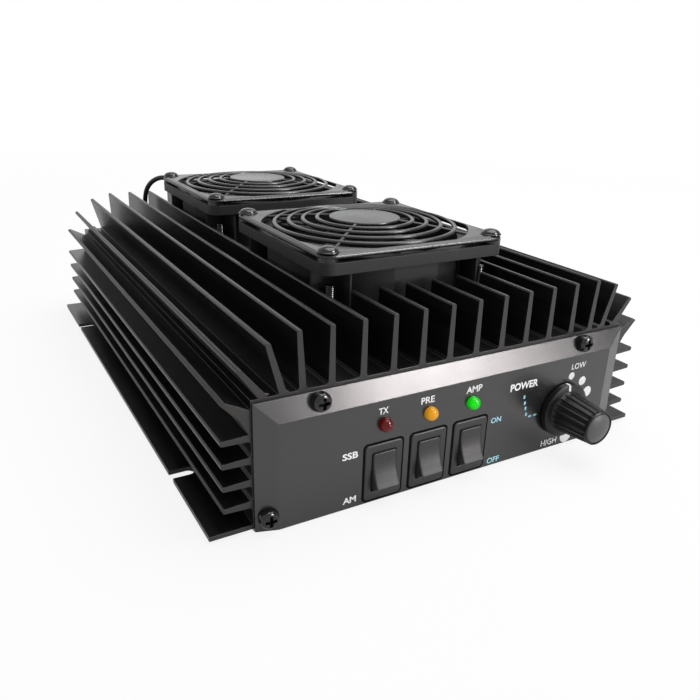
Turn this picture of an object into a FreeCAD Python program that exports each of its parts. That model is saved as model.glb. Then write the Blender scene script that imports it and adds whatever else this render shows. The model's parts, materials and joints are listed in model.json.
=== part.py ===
import FreeCAD, Part
import operator
import os
from math import cos, radians, sin, sqrt, tan

import Sketcher

# HF linear amplifier: a finned heatsink channel with a bottom plate, two bevelled end panels, two
# fans on top and the radio-frequency board hung under the ceiling.  Millimetres, +Z up, the front
# panel towards -Y, the origin at the centre of the footprint on the surface it stands on.

SIZES = {
    # heatsink channel
    "case_length": 248.0,
    "flange_width": 186.0,
    "flange_thickness": 1.6,
    "channel_width": 157.0,
    "channel_height": 45.0,
    "side_wall": 6.4,
    "top_wall": 6.6,
    # fins
    "fin_pitch": 11.4,
    "fin_length": 19.6,
    "fin_tip": 1.7,
    "fin_root": 2.4,
    "fin_fillet": 0.8,
    "fin_sink": 0.5,
    "side_fin_length": 9.8,
    "side_fin_pitch": 7.8,
    "side_fin_start": 9.2,
    "lean_small": 3.6,
    "lean_medium": 16.0,
    "lean_large": 37.4,
    "lean_small_root": 61.3,
    "lean_medium_root": 67.9,
    "lean_large_root": 74.3,
    "lean_medium_length": 17.6,
    "lean_large_length": 12.8,
    "wedge_top": 3.2,
    "wedge_bottom": 12.0,
    "wedge_reach": 9.1,
    "wedge_tip": 1.3,
    "wedge_knee_reach": 3.8,
    "wedge_knee_drop": 5.7,
    # milled pocket under the fans
    "pocket_length": 193.0,
    "stub_height": 4.0,
    "blind_floor": 1.2,
    "lead_hole_inset": 9.0,
    # flange slots
    "slot_width": 5.2,
    "slot_depth": 8.5,
    "slot_spacing": 168.0,
    # bottom plate
    "plate_thickness": 1.2,
    "cover_gap": 0.2,
    "flush_radius": 2.8,
    # screws
    "screw_radius": 1.45,
    "screw_clearance": 0.1,
    "screw_grip": 9.0,
    "pan_radius": 3.3,
    "pan_height": 3.2,
    "recess_width": 0.9,
    "recess_span": 3.6,
    "recess_depth": 1.3,
    "pan_clearance": 0.1,
    "plate_screw_inset": 19.0,
    # end panels
    "panel_lip": 1.1,
    "panel_depth": 3.3,
    "panel_bevel": 7.25,
    "panel_rise": 0.5,
    "panel_top_gap": 0.9,
    "panel_side_gap": 0.2,
    "seat_depth": 1.2,
    "top_screw_offset": 56.5,
    "top_screw_drop": 3.8,
    "low_screw_inset": 4.0,
    "low_screw_rise": 4.4,
    # switches
    "switch_start": -32.9,
    "switch_pitch": 18.2,
    "switch_height": 12.1,
    "bezel_width": 14.8,
    "bezel_height": 21.0,
    "bezel_proud": 0.5,
    "seal_margin": 0.6,
    "seal_thickness": 0.25,
    "switch_width": 13.0,
    "switch_tall": 19.2,
    "switch_depth": 16.0,
    "switch_fit": 0.1,
    "rocker_width": 8.8,
    "rocker_reach": 7.1,
    "rocker_gap": 0.25,
    "rocker_crest_reach": 6.1,
    "rocker_crest": 4.7,
    "rocker_valley": 3.55,
    "rocker_back": 3.0,
    "rocker_back_reach": 6.2,
    "rocker_clearance": 2.0,
    "rocker_tilt": 15.0,
    "pivot_inset": 2.3,
    "pivot_radius": 1.0,
    "pivot_length": 1.2,
    "pivot_fit": 0.06,
    "pivot_end_gap": 0.1,
    "tab_width": 4.8,
    "tab_length": 7.5,
    "tab_thickness": 0.8,
    "tab_pitch": 6.0,
    # indicator lamps
    "lamp_height": 29.2,
    "lamp_radius": 2.5,
    "lamp_length": 6.4,
    "lamp_collar": 2.95,
    "lamp_collar_length": 1.0,
    "lamp_fit": 0.06,
    "lamp_leg": 0.5,
    "lamp_leg_length": 9.0,
    "lamp_leg_pitch": 2.54,
    "clip_radius": 4.4,
    "clip_length": 3.0,
    # power selector and knob
    "knob_offset": 48.6,
    "knob_height": 16.9,
    "selector_radius": 12.4,
    "selector_depth": 14.0,
    "bushing_radius": 3.5,
    "washer_thickness": 0.6,
    "nut_thickness": 1.8,
    "nut_radius": 5.7,
    "washer_margin": 0.4,
    "bushing_end": 0.6,
    "shaft_radius": 3.0,
    "shaft_fit": 0.05,
    "shaft_inset": 8.0,
    "shaft_end_gap": 0.3,
    "knob_gap": 0.5,
    "knob_length": 18.6,
    "knob_skirt_radius": 10.8,
    "knob_skirt_thickness": 2.7,
    "knob_skirt_slope": 0.4,
    "knob_base_radius": 8.2,
    "knob_tip_radius": 6.7,
    "knob_recess_radius": 6.7,
    "knob_bore_end": 3.0,
    "knob_fit": 0.02,
    "set_screw_length": 3.8,
    "cap_radius": 5.8,
    "cap_sink": 0.8,
    "cap_dome": 0.9,
    "flute_radius": 1.1,
    # fans
    "fan_size": 80.0,
    "fan_thickness": 25.4,
    "fan_hole_inset": 4.25,
    "fan_offset": 55.3,
    "fan_corner": 5.0,
    "fan_flange": 4.4,
    "fan_foot_size": 76.0,
    "fan_foot_thickness": 3.5,
    "stud_pitch": 67.0,
    "stud_radius": 1.9,
    "stud_reach": 12.3,
    "stud_nut_radius": 3.9,
    "stud_nut_height": 2.6,
    "spacer_radius": 2.8,
    "fan_ring_radius": 39.2,
    "fan_bore_radius": 37.6,
    "strut_width": 4.0,
    "strut_depth": 3.0,
    "strut_drop": 0.6,
    "motor_base_radius": 15.5,
    "bearing_radius": 3.6,
    "bearing_bore": 1.55,
    "bearing_length": 16.0,
    "stator_radius": 12.6,
    "stator_height": 10.0,
    "stator_fit": 0.05,
    "stator_drop": 1.5,
    "rotor_shaft_radius": 1.5,
    "hub_radius": 15.4,
    "hub_wall": 1.6,
    "hub_height": 19.0,
    "hub_clearance": 1.4,
    "blade_gap": 0.9,
    "blade_chord": 17.0,
    "blade_thickness": 1.3,
    "blade_middle": 8.5,
    "blade_pitch_angle": 36.0,
    # fan guards
    "guard_gap": 1.2,
    "guard_thickness": 2.0,
    "guard_rim": 2.3,
    "guard_opening": 41.6,
    "guard_disc": 14.4,
    "guard_dome": 3.4,
    "guard_web": 1.5,
    "guard_chamfer": 0.9,
    "guard_foot_radius": 4.0,
    "guard_ring_pitch": 5.7,
    "guard_ring_width": 1.7,
    "guard_spoke": 1.6,
    "guard_screw_radius": 1.9,
    "guard_screw_length": 7.2,
    "guard_head_radius": 3.8,
    "guard_head_height": 2.1,
    # fan leads
    "lead_radius": 1.3,
    "lead_fit": 0.15,
    "lead_clear": 11.4,
    "lead_board_inset": 5.0,
    "grommet_radius": 3.0,
    "grommet_lip": 3.6,
    "grommet_lip_height": 1.0,
    # rear connectors
    "socket_offset": 46.0,
    "socket_height": 22.6,
    "socket_flange": 25.4,
    "socket_flange_thickness": 3.0,
    "socket_screw_pitch": 18.2,
    "socket_barrel_radius": 7.9,
    "socket_barrel_length": 11.0,
    "socket_bore_radius": 6.4,
    "socket_tail_radius": 6.9,
    "socket_tail_length": 5.0,
    "insulator_radius": 4.4,
    "insulator_base": 4.0,
    "insulator_recess": 2.0,
    "insulator_fit": 0.04,
    "contact_radius": 2.6,
    "contact_bore": 2.05,
    "contact_tail": 6.0,
    "gland_radius": 6.2,
    "gland_flange_radius": 9.0,
    "gland_flange_thickness": 3.0,
    "gland_bore_radius": 3.6,
    "gland_dome_radius": 5.2,
    "gland_dome_length": 5.0,
    "gland_length": 12.0,
    "gland_nut_radius": 9.0,
    "gland_nut_thickness": 3.0,
    "small_head_radius": 2.7,
    "small_head_height": 1.9,
    # circuit board
    "board_width": 126.0,
    "board_length": 158.0,
    "board_shift": 10.0,
    "board_thickness": 1.6,
    "standoff_height": 5.0,
    "standoff_radius": 3.2,
    "standoff_bore": 1.6,
    "standoff_offset": 57.0,
    "standoff_spacing": 70.0,
    # parts on the board
    "transistor_flange_width": 25.0,
    "transistor_flange_depth": 9.8,
    "transistor_flange_thickness": 2.0,
    "transistor_body_width": 12.4,
    "transistor_body_height": 3.6,
    "transistor_offset": 19.0,
    "transistor_row": 24.0,
    "transistor_hole_pitch": 18.6,
    "transistor_tab_width": 5.6,
    "transistor_tab_reach": 4.0,
    "transistor_tab_thickness": 0.3,
    "cutout_gap": 1.1,
    "tube_radius": 8.0,
    "tube_bore": 3.4,
    "tube_length": 30.0,
    "tube_spacing": 17.0,
    "end_plate_thickness": 1.6,
    "end_plate_margin": 1.0,
    "transformer_row": 22.0,
    "relay_width": 16.0,
    "relay_length": 29.0,
    "relay_height": 15.5,
    "relay_offset": 45.0,
    "relay_row": 55.0,
    "can_radius": 6.5,
    "can_height": 21.0,
    "can_spacing": 20.0,
    "can_row": 58.0,
    "coil_radius": 7.5,
    "coil_thickness": 3.0,
    "coil_offset": 42.0,
    "coil_spacing": 26.0,
    "coil_row": 8.0,
    "fuse_width": 19.0,
    "fuse_height": 12.0,
    "fuse_thickness": 4.5,
    "fuse_offset": 45.0,
    "fuse_row": 60.0,
    # wiring inside the case
    "coax_radius": 1.6,
    "coax_offset": 30.0,
    "wire_radius": 1.0,
    "wire_inset": 5.0,
}

SIDES = (-1, 1)
CORNERS = ((-1, -1), (1, -1), (1, 1), (-1, 1))
BLADES = 7
GUARD_RINGS = 4
FLUTES = 20
SWITCHES = ("mode", "preamp", "power")
LAMPS = ("transmit_led", "preamp_led", "amplifier_led")

Vector = FreeCAD.Vector
DOC = FreeCAD.newDocument("hf_linear_amplifier")
SHEET = DOC.addObject("Spreadsheet::Sheet", "Sizes")
NODES = []


# --- sizes and formulas ---------------------------------------------------------------------

class Size:
    """A length that carries its value and the formula over the sheet's cells that gives it."""

    def __init__(self, value, formula):
        self.value = value
        self.formula = formula

    def __add__(self, other):
        return combine(self, "+", other)

    def __radd__(self, other):
        return combine(other, "+", self)

    def __sub__(self, other):
        return combine(self, "-", other)

    def __rsub__(self, other):
        return combine(other, "-", self)

    def __mul__(self, other):
        return combine(self, "*", other)

    def __rmul__(self, other):
        return combine(other, "*", self)

    def __truediv__(self, other):
        return combine(self, "/", other)

    def __neg__(self):
        return combine(-1, "*", self)


OPERATIONS = {"+": operator.add, "-": operator.sub, "*": operator.mul, "/": operator.truediv}


def as_size(number):
    """A plain number as a Size, and a Size as it is."""
    return number if isinstance(number, Size) else Size(float(number), f"({float(number):.6f})")


def combine(left, sign, right):
    """The Size that an arithmetic sign makes of two lengths."""
    left = as_size(left)
    right = as_size(right)
    return Size(OPERATIONS[sign](left.value, right.value), f"({left.formula} {sign} {right.formula})")


def cosine(angle):
    return Size(cos(radians(angle.value)), f"cos({angle.formula})")


def sine(angle):
    return Size(sin(radians(angle.value)), f"sin({angle.formula})")


class Sheet:
    """The driving dimensions, each one an attribute that is a Size."""


def fill_sheet():
    """Writes every driving dimension to its own cell, with its name as the cell's alias."""
    sizes = Sheet()
    for row, (name, number) in enumerate(SIZES.items(), start=1):
        SHEET.set(f"A{row}", name)
        SHEET.set(f"B{row}", str(number))
        SHEET.setAlias(f"B{row}", name)
        setattr(sizes, name, Size(float(number), f"Sizes.{name}"))
    DOC.recompute()
    return sizes


d = fill_sheet()


def bind(thing, prop, size):
    """Ties a property of a document object to the formula of a Size."""
    thing.setExpression(prop, as_size(size).formula)


# --- building blocks ------------------------------------------------------------------------

TURNS = {
    "z": FreeCAD.Rotation(),
    "-z": FreeCAD.Rotation(Vector(1, 0, 0), 180),
    "y": FreeCAD.Rotation(Vector(1, 0, 0), -90),
    "-y": FreeCAD.Rotation(Vector(1, 0, 0), 90),
    "x": FreeCAD.Rotation(Vector(0, 1, 0), 90),
}


def place(thing, at, turn="z"):
    """Puts a document object's own origin at a point, with its own Z along an axis or a rotation."""
    rotation = TURNS[turn] if isinstance(turn, str) else turn
    thing.Placement = FreeCAD.Placement(Vector(*(as_size(c).value for c in at)), rotation)
    for letter, size in zip("xyz", at):
        bind(thing, f"Placement.Base.{letter}", size)
    return thing


def node(label, thing):
    """Names a finished sub-part; the name is also its file's name."""
    thing.Label = label
    NODES.append(thing)
    return thing


def box(sizes, at):
    """A box centred on a point in X and Y that stands on it in Z."""
    solid = DOC.addObject("Part::Box", "box")
    for prop, size in zip(("Length", "Width", "Height"), sizes):
        bind(solid, prop, size)
    return place(solid, (at[0] - sizes[0] / 2, at[1] - sizes[1] / 2, at[2]))


def cylinder(radius, height, at, turn="z"):
    """A round bar that starts at a point and runs along an axis."""
    solid = DOC.addObject("Part::Cylinder", "cylinder")
    bind(solid, "Radius", radius)
    bind(solid, "Height", height)
    return place(solid, at, turn)


def cone(radius, tip_radius, height, at, turn="z"):
    """A tapered round bar that starts at a point and runs along an axis."""
    solid = DOC.addObject("Part::Cone", "cone")
    bind(solid, "Radius1", radius)
    bind(solid, "Radius2", tip_radius)
    bind(solid, "Height", height)
    return place(solid, at, turn)


def sphere(radius, at):
    solid = DOC.addObject("Part::Sphere", "sphere")
    bind(solid, "Radius", radius)
    return place(solid, at)


def hexagon(radius, height, at, turn="z"):
    """A six-sided bar that starts at a point and runs along an axis."""
    solid = DOC.addObject("Part::Prism", "hexagon")
    solid.Polygon = 6
    bind(solid, "Circumradius", radius)
    bind(solid, "Height", height)
    return place(solid, at, turn)


def fuse(solids):
    """One solid made of several that touch or overlap."""
    if len(solids) == 1:
        return solids[0]
    result = DOC.addObject("Part::MultiFuse", "fuse")
    result.Shapes = solids
    result.Refine = True
    return result


def group(solids):
    """Separate solids kept together, such as a set of screws."""
    result = DOC.addObject("Part::Compound", "group")
    result.Links = solids
    return result


def cut(base, tools):
    """A solid with other solids taken away."""
    result = DOC.addObject("Part::Cut", "cut")
    result.Base = base
    result.Tool = fuse(tools)
    return result


def common(first, second):
    """What two solids share."""
    result = DOC.addObject("Part::Common", "common")
    result.Base = first
    result.Tool = second
    return result


def tube(radius, bore, height, at, turn="z"):
    """A ring or sleeve that starts at a point and runs along an axis."""
    return cut(cylinder(radius, height, at, turn), [cylinder(bore, height, at, turn)])


def sketch_on(body, role):
    """An empty sketch on one of the body's own origin planes."""
    plane = next(item for item in body.Origin.OriginFeatures if item.Role == role)
    sketch = body.newObject("Sketcher::SketchObject", "sketch")
    sketch.AttachmentSupport = [(plane, "")]
    sketch.MapMode = "FlatFace"
    return sketch


def outline(sketch, corners):
    """Adds a closed polygon whose corners are each held by their distances from the origin."""
    corners = [(as_size(x), as_size(y)) for x, y in corners]
    points = [Vector(x.value, y.value, 0) for x, y in corners]
    first = sketch.GeometryCount
    count = len(points)
    lines = [Part.LineSegment(points[i], points[(i + 1) % count]) for i in range(count)]
    sketch.addGeometry(lines, False)
    for i in range(count):
        ends = (first + i, 2, first + (i + 1) % count, 1)
        sketch.addConstraint(Sketcher.Constraint("Coincident", *ends))
    for i, corner in enumerate(corners):
        for kind, size in zip(("DistanceX", "DistanceY"), corner):
            constraint = Sketcher.Constraint(kind, -1, 1, first + i, 1, size.value)
            index = sketch.addConstraint(constraint)
            sketch.setExpression(f"Constraints[{index}]", size.formula)


def pad(body, outlines, length, midplane=False):
    """Pads closed outlines of the body's XY plane along its Z."""
    sketch = sketch_on(body, "XY_Plane")
    for corners in outlines:
        outline(sketch, corners)
    feature = body.newObject("PartDesign::Pad", "pad")
    feature.Profile = sketch
    feature.Midplane = midplane
    bind(feature, "Length", length)
    return feature


def repeat(body, feature, axis, count, span):
    """Repeats a feature of the body along an axis of its sketch."""
    pattern = body.newObject("PartDesign::LinearPattern", "pattern")
    pattern.Originals = [feature]
    pattern.Direction = (feature.Profile[0], [axis])
    pattern.Occurrences = count
    bind(pattern, "Length", span)
    body.Tip = pattern
    return pattern


def mirror(body, feature):
    """Mirrors a feature of the body about the vertical axis of its sketch."""
    mirrored = body.newObject("PartDesign::Mirrored", "mirrored")
    mirrored.Originals = [feature]
    mirrored.MirrorPlane = (feature.Profile[0], ["V_Axis"])
    body.Tip = mirrored
    return mirrored


def prism(corners, length, at, turn="z"):
    """A straight bar with a polygon for its section."""
    body = DOC.addObject("PartDesign::Body", "prism")
    pad(body, [corners], length)
    return place(body, at, turn)


def turned(profile, at, turn="z"):
    """A solid of revolution about its own Z; the profile is (radius, height) pairs."""
    body = DOC.addObject("PartDesign::Body", "turned")
    sketch = sketch_on(body, "XZ_Plane")
    outline(sketch, profile)
    feature = body.newObject("PartDesign::Revolution", "revolution")
    feature.Profile = sketch
    feature.ReferenceAxis = (sketch, ["V_Axis"])
    feature.Angle = 360
    return place(body, at, turn)


def rounded_plate(width, depth, height, radius, at, chamfer=None):
    """A plate centred on a point, with rounded upright corners and perhaps a bevelled top edge."""
    body = DOC.addObject("PartDesign::Body", "plate")
    corners = [(width / 2 * x, depth / 2 * y) for x, y in CORNERS]
    feature = pad(body, [corners], height)
    DOC.recompute()
    upright = [
        f"Edge{i}" for i, edge in enumerate(feature.Shape.Edges, start=1)
        if abs(edge.tangentAt(edge.FirstParameter).z) > 0.9
    ]
    fillet = body.newObject("PartDesign::Fillet", "fillet")
    fillet.Base = (feature, upright)
    bind(fillet, "Radius", radius)
    if chamfer is not None:
        DOC.recompute()
        upper = [
            f"Edge{i}" for i, edge in enumerate(fillet.Shape.Edges, start=1)
            if edge.BoundBox.ZMin > height.value - 1e-4
        ]
        bevel = body.newObject("PartDesign::Chamfer", "chamfer")
        bevel.Base = (fillet, upper)
        bind(bevel, "Size", chamfer)
    return place(body, at)


def pan_screw(at, turn, length, radius, head_radius, head_height):
    """A pan-head screw: the shank runs along the axis from a point, and the head stands behind it."""
    edge = head_height * 0.45
    profile = [
        (0, -head_height), (head_radius * 0.7, -head_height), (head_radius, -edge),
        (head_radius, 0), (radius, 0), (radius, length), (0, length),
    ]
    return turned(profile, at, turn)


def tube_path(points):
    """Straight runs joined by tangent arcs; an arc takes 0.45 of the shorter run beside it."""
    edges = []
    start = points[0]
    for before, corner, after in zip(points, points[1:], points[2:]):
        inward = (before - corner)
        outward = (after - corner)
        reach = 0.45 * min(inward.Length, outward.Length)
        inward.normalize()
        outward.normalize()
        middle = (inward + outward).normalize()
        half = inward.getAngle(outward) / 2
        radius = reach * tan(half)
        top = corner + middle * (sqrt(radius ** 2 + reach ** 2) - radius)
        entry = corner + inward * reach
        leave = corner + outward * reach
        edges.append(Part.LineSegment(start, entry).toShape())
        edges.append(Part.Arc(entry, top, leave).toShape())
        start = leave
        print(f"  bend radius {radius:.1f}")
    edges.append(Part.LineSegment(start, points[-1]).toShape())
    return Part.Wire(edges)


def lead(points, radius):
    """A round lead along a path of points, as a shape of its own."""
    path = tube_path([Vector(*(as_size(c).value for c in point)) for point in points])
    start = path.Edges[0]
    along = start.tangentAt(start.FirstParameter)
    section = Part.Wire(Part.Circle(start.valueAt(start.FirstParameter), along, radius.value).toShape())
    solid = path.makePipeShell([section], True, False)
    expected = 3.14159 * radius.value ** 2 * path.Length
    print(f"  lead volume {solid.Volume:.1f}, section times length {expected:.1f}")
    return solid


# --- shared places --------------------------------------------------------------------------

FRONT = -d.case_length / 2
REAR = d.case_length / 2
FACE = FRONT - d.panel_depth
REAR_FACE = REAR + d.panel_depth
BASE = d.plate_thickness
ROOF = BASE + d.channel_height
CEILING = ROOF - d.top_wall
INNER = d.channel_width / 2 - d.side_wall
FAN_FLOOR = ROOF + d.stub_height
GUARD_FOOT = d.fan_thickness
GUARD_BASE = d.fan_thickness + d.guard_gap
GUARD_TOP = GUARD_BASE + d.guard_thickness
BOARD_TOP = CEILING - d.standoff_height
BOARD_BOTTOM = BOARD_TOP - d.board_thickness
SCREW_HOLE = d.screw_radius + d.screw_clearance
STUD_HOLE = d.stud_radius + d.screw_clearance
PIVOT = FACE - d.bezel_proud + d.pivot_inset
KNOB_BACK = FACE - d.knob_gap
KNOB_FRONT = KNOB_BACK - d.knob_length
REAR_LEAD = (-4 * d.fin_pitch, REAR - d.lead_hole_inset)
FRONT_LEAD = (-2 * d.fin_pitch, as_size(0))
BOARD_REAR = d.board_shift + d.board_length / 2
BOARD_FRONT = d.board_shift - d.board_length / 2
STRUT_LOW = d.fan_thickness - d.strut_drop - d.strut_depth
STRUT_TURN = FreeCAD.Rotation(Vector(0, 0, 1), 120)
SPOKE_TURN = FreeCAD.Rotation(Vector(0, 0, 1), 45)
LEAD_SIDE = d.strut_width / 2 + d.lead_radius + d.lead_fit
LEAD_LEVEL = STRUT_LOW + d.strut_depth / 2


def panel_screw_places():
    """The four end screws as (x, z): two in the top wall and two in the side walls."""
    low = d.channel_width / 2 - d.low_screw_inset
    top = [(side * d.top_screw_offset, ROOF - d.top_screw_drop) for side in SIDES]
    return top + [(side * low, BASE + d.low_screw_rise) for side in SIDES]


def plate_screw_places():
    """The screws of the bottom plate, four along each side wall."""
    x = d.channel_width / 2 - d.side_wall / 2
    reach = d.case_length / 2 - d.plate_screw_inset
    steps = (-1, -1 / 3, 1 / 3, 1)
    return [(side * x, reach * step) for side in SIDES for step in steps]


def stud_places():
    """The studs that hold both fans down, as (x, y)."""
    half = d.stud_pitch / 2
    centres = [side * d.fan_offset for side in SIDES]
    return [(half * x, centre + half * y) for centre in centres for x, y in CORNERS]


def standoff_places():
    """The board's stand-offs, three along each side."""
    rows = [d.board_shift + d.standoff_spacing * step for step in SIDES + (0,)]
    return [(side * d.standoff_offset, row) for side in SIDES for row in rows]


def transistor_places():
    """The four power transistors, as (x, y)."""
    rows = [d.board_shift + side * d.transistor_row for side in SIDES]
    return [(side * d.transistor_offset, row) for side in SIDES for row in rows]


def transistor_screw_places():
    half = d.transistor_hole_pitch / 2
    return [(x + side * half, y) for x, y in transistor_places() for side in SIDES]


def switch_place(index):
    """The middle of a switch across the panel."""
    return d.switch_start + d.switch_pitch * index


# --- casing ---------------------------------------------------------------------------------

def fin(root, lean, length):
    """A tapered fin's outline: its root point, its lean as (sine, cosine), and its length."""
    nose = d.fin_tip * 0.25
    half_root = d.fin_root / 2
    half_tip = d.fin_tip / 2
    one_side = [
        (half_root + d.fin_fillet, -d.fin_sink), (half_root + d.fin_fillet, 0), (half_root, d.fin_fillet),
        (half_tip, length - nose), (half_tip - nose, length),
    ]
    other_side = [(-across, along) for across, along in reversed(one_side)]
    sine_lean, cosine_lean = lean
    return [
        (root[0] + across * cosine_lean + along * sine_lean,
         root[1] - across * sine_lean + along * cosine_lean)
        for across, along in one_side + other_side
    ]


def wedge_fin():
    """The upper side fin, which rises outward from a thick root at the channel's shoulder."""
    wall = -d.channel_width / 2
    top = d.channel_height
    return [
        (wall + d.fin_sink, top - d.wedge_top), (wall, top - d.wedge_top),
        (wall - d.wedge_reach + d.wedge_tip, top + d.wedge_tip * 0.6), (wall - d.wedge_reach, top),
        (wall - d.wedge_knee_reach, top - d.wedge_knee_drop),
        (wall, top - d.wedge_bottom), (wall + d.fin_sink, top - d.wedge_bottom),
    ]


def leaning_fins():
    """The outlines of the left-hand fins that fan out round the channel's shoulder."""
    top = d.channel_height
    fins = [
        (d.lean_small_root, d.lean_small, d.fin_length),
        (d.lean_medium_root, d.lean_medium, d.lean_medium_length),
        (d.lean_large_root, d.lean_large, d.lean_large_length),
    ]
    outlines = [fin((-x, top), (-sine(lean), cosine(lean)), length) for x, lean, length in fins]
    return outlines + [wedge_fin()]


def channel_outline():
    """The section of the bare channel: roof, two side walls and two bottom flanges."""
    flange = d.flange_width / 2
    wall = d.channel_width / 2
    right = [
        (INNER, 0), (flange, 0), (flange, d.flange_thickness), (wall, d.flange_thickness),
        (wall, d.channel_height),
    ]
    left = [(-x, z) for x, z in reversed(right)]
    ceiling = d.channel_height - d.top_wall
    return right + left + [(-INNER, ceiling), (INNER, ceiling)]


def extrusion():
    """The finned channel as it leaves the die, before any milling."""
    body = DOC.addObject("PartDesign::Body", "extrusion")
    pad(body, [channel_outline()], d.case_length, midplane=True)
    first = -4.5 * d.fin_pitch
    upright = pad(body, [fin((first, d.channel_height), (0, 1), d.fin_length)], d.case_length, midplane=True)
    repeat(body, upright, "H_Axis", 10, 9 * d.fin_pitch)
    for side in SIDES:
        root = (side * d.channel_width / 2, d.side_fin_start)
        flat = pad(body, [fin(root, (side, 0), d.side_fin_length)], d.case_length, midplane=True)
        repeat(body, flat, "V_Axis", 4, 3 * d.side_fin_pitch)
    mirror(body, pad(body, leaning_fins(), d.case_length, midplane=True))
    return place(body, (0, 0, BASE), "-y")


def flange_slots():
    """Open-ended slots in the bottom flanges, by which the case is screwed to a surface."""
    tools = []
    edge = d.flange_width / 2
    middle = edge - d.slot_depth + d.slot_width / 2
    height = 3 * d.flange_thickness
    for x, y in CORNERS:
        row = d.slot_spacing / 2 * y
        mouth = edge + d.slot_width - middle
        tools.append(cylinder(d.slot_width / 2, height, (middle * x, row, 0)))
        tools.append(box((mouth, d.slot_width, height), ((middle + mouth / 2) * x, row, 0)))
    return tools


def heatsink():
    """The extrusion with its fan pocket, slots and screw holes cut."""
    pocket = box((6 * d.fin_pitch, d.pocket_length, d.fin_length * 2), (0, 0, FAN_FLOOR))
    tools = [pocket] + flange_slots()
    for x, z in panel_screw_places():
        for end, turn in ((FRONT, "y"), (REAR, "-y")):
            tools.append(cylinder(SCREW_HOLE, d.screw_grip + 1, (x, end, z), turn))
    tools += [cylinder(SCREW_HOLE, d.screw_grip, (x, y, 0)) for x, y in plate_screw_places()]
    blind = d.top_wall - d.blind_floor
    tools += [cylinder(STUD_HOLE, blind, (x, y, ROOF), "-z") for x, y in stud_places()]
    for x, y in standoff_places() + transistor_screw_places():
        tools.append(cylinder(SCREW_HOLE, blind, (x, y, CEILING)))
    for x, y in (REAR_LEAD, FRONT_LEAD):
        tools.append(cylinder(d.grommet_radius + d.screw_clearance, d.top_wall * 2, (x, y, CEILING - 1)))
    node("heatsink", cut(extrusion(), tools))


def bottom_plate():
    """The plate that closes the channel, with countersunk holes, and its flush screws."""
    width = d.channel_width - 2 * d.cover_gap
    plate = box((width, d.case_length - 2 * d.cover_gap, d.plate_thickness), (0, 0, 0))
    holes = []
    screws = []
    for x, y in plate_screw_places():
        holes.append(cone(d.flush_radius + d.screw_clearance, SCREW_HOLE, d.plate_thickness, (x, y, 0)))
        profile = [
            (0, 0), (d.flush_radius, 0), (d.screw_radius, d.plate_thickness),
            (d.screw_radius, d.screw_grip - 1), (0, d.screw_grip - 1),
        ]
        screws.append(turned(profile, (x, y, 0)))
    node("bottom_plate", cut(plate, holes))
    node("bottom_plate_screws", group(screws))


def bevelled_panel(side):
    """An end panel: a lip against the channel and a face set in by the bevel, flat at the bottom."""
    half = d.channel_width / 2 - d.panel_side_gap
    top = ROOF - d.panel_top_gap
    wedge = DOC.addObject("Part::Wedge", "wedge")
    sizes = {
        "Xmin": -half, "Xmax": half, "Zmin": d.panel_rise, "Zmax": top,
        "X2min": d.panel_bevel - half, "X2max": half - d.panel_bevel,
        "Z2min": d.panel_rise, "Z2max": top - d.panel_bevel,
        "Ymin": d.panel_lip, "Ymax": d.panel_depth,
    }
    for prop, size in sizes.items():
        bind(wedge, prop, size)
    end = REAR if side > 0 else FRONT
    place(wedge, (0, end, 0), FreeCAD.Rotation(Vector(0, 0, 1), 0 if side > 0 else 180))
    lip = box((half * 2, d.panel_lip, top - d.panel_rise), (0, end + side * d.panel_lip / 2, d.panel_rise))
    return fuse([lip, wedge])


def panel_screws(side):
    """The four screws of an end panel, and the seats and holes that they need."""
    end, inward = (REAR, "-y") if side > 0 else (FRONT, "y")
    outward = "y" if side > 0 else "-y"
    seat = end + side * (d.panel_depth - d.seat_depth)
    length = d.panel_depth - d.seat_depth + d.screw_grip
    crown = seat + side * (d.pan_height - d.recess_depth / 2)
    screws = []
    tools = []
    for x, z in panel_screw_places():
        screw = pan_screw((x, seat, z), inward, length, d.screw_radius, d.pan_radius, d.pan_height)
        flat = box((d.recess_span, d.recess_depth, d.recess_width), (x, crown, z - d.recess_width / 2))
        upright = box((d.recess_width, d.recess_depth, d.recess_span), (x, crown, z - d.recess_span / 2))
        screws.append(cut(screw, [flat, upright]))
        tools.append(cylinder(d.pan_radius + d.pan_clearance, d.panel_depth, (x, seat, z), outward))
        tools.append(cylinder(SCREW_HOLE, d.panel_depth, (x, end, z), outward))
    return screws, tools


def front_panel():
    """The front panel, with the openings for switches, lamps and the power selector."""
    screws, tools = panel_screws(-1)
    middle = FRONT - d.panel_depth / 2
    for index in range(len(SWITCHES)):
        x = switch_place(index)
        width = d.switch_width + 2 * d.switch_fit
        height = d.switch_tall + 2 * d.switch_fit
        tools.append(box((width, 2 * d.panel_depth, height), (x, middle, d.switch_height - height / 2)))
        hole = d.lamp_radius + d.lamp_fit
        tools.append(cylinder(hole, d.panel_depth, (x, FRONT, d.lamp_height), "-y"))
    hole = d.bushing_radius + d.screw_clearance
    tools.append(cylinder(hole, d.panel_depth, (d.knob_offset, FRONT, d.knob_height), "-y"))
    node("front_panel", cut(bevelled_panel(-1), tools))
    node("front_panel_screws", group(screws))


def rear_panel():
    """The rear panel, with the openings for the sockets and the supply gland."""
    screws, tools = panel_screws(1)
    for side in SIDES:
        x = side * d.socket_offset
        hole = d.socket_tail_radius + d.screw_clearance
        tools.append(cylinder(hole, d.panel_depth, (x, REAR, d.socket_height), "y"))
    for x, z in socket_screw_places():
        tools.append(cylinder(SCREW_HOLE, d.panel_depth, (x, REAR, z), "y"))
    hole = d.gland_radius + d.screw_clearance
    tools.append(cylinder(hole, d.panel_depth, (0, REAR, d.socket_height), "y"))
    node("rear_panel", cut(bevelled_panel(1), tools))
    node("rear_panel_screws", group(screws))


# --- front panel parts ----------------------------------------------------------------------

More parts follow.
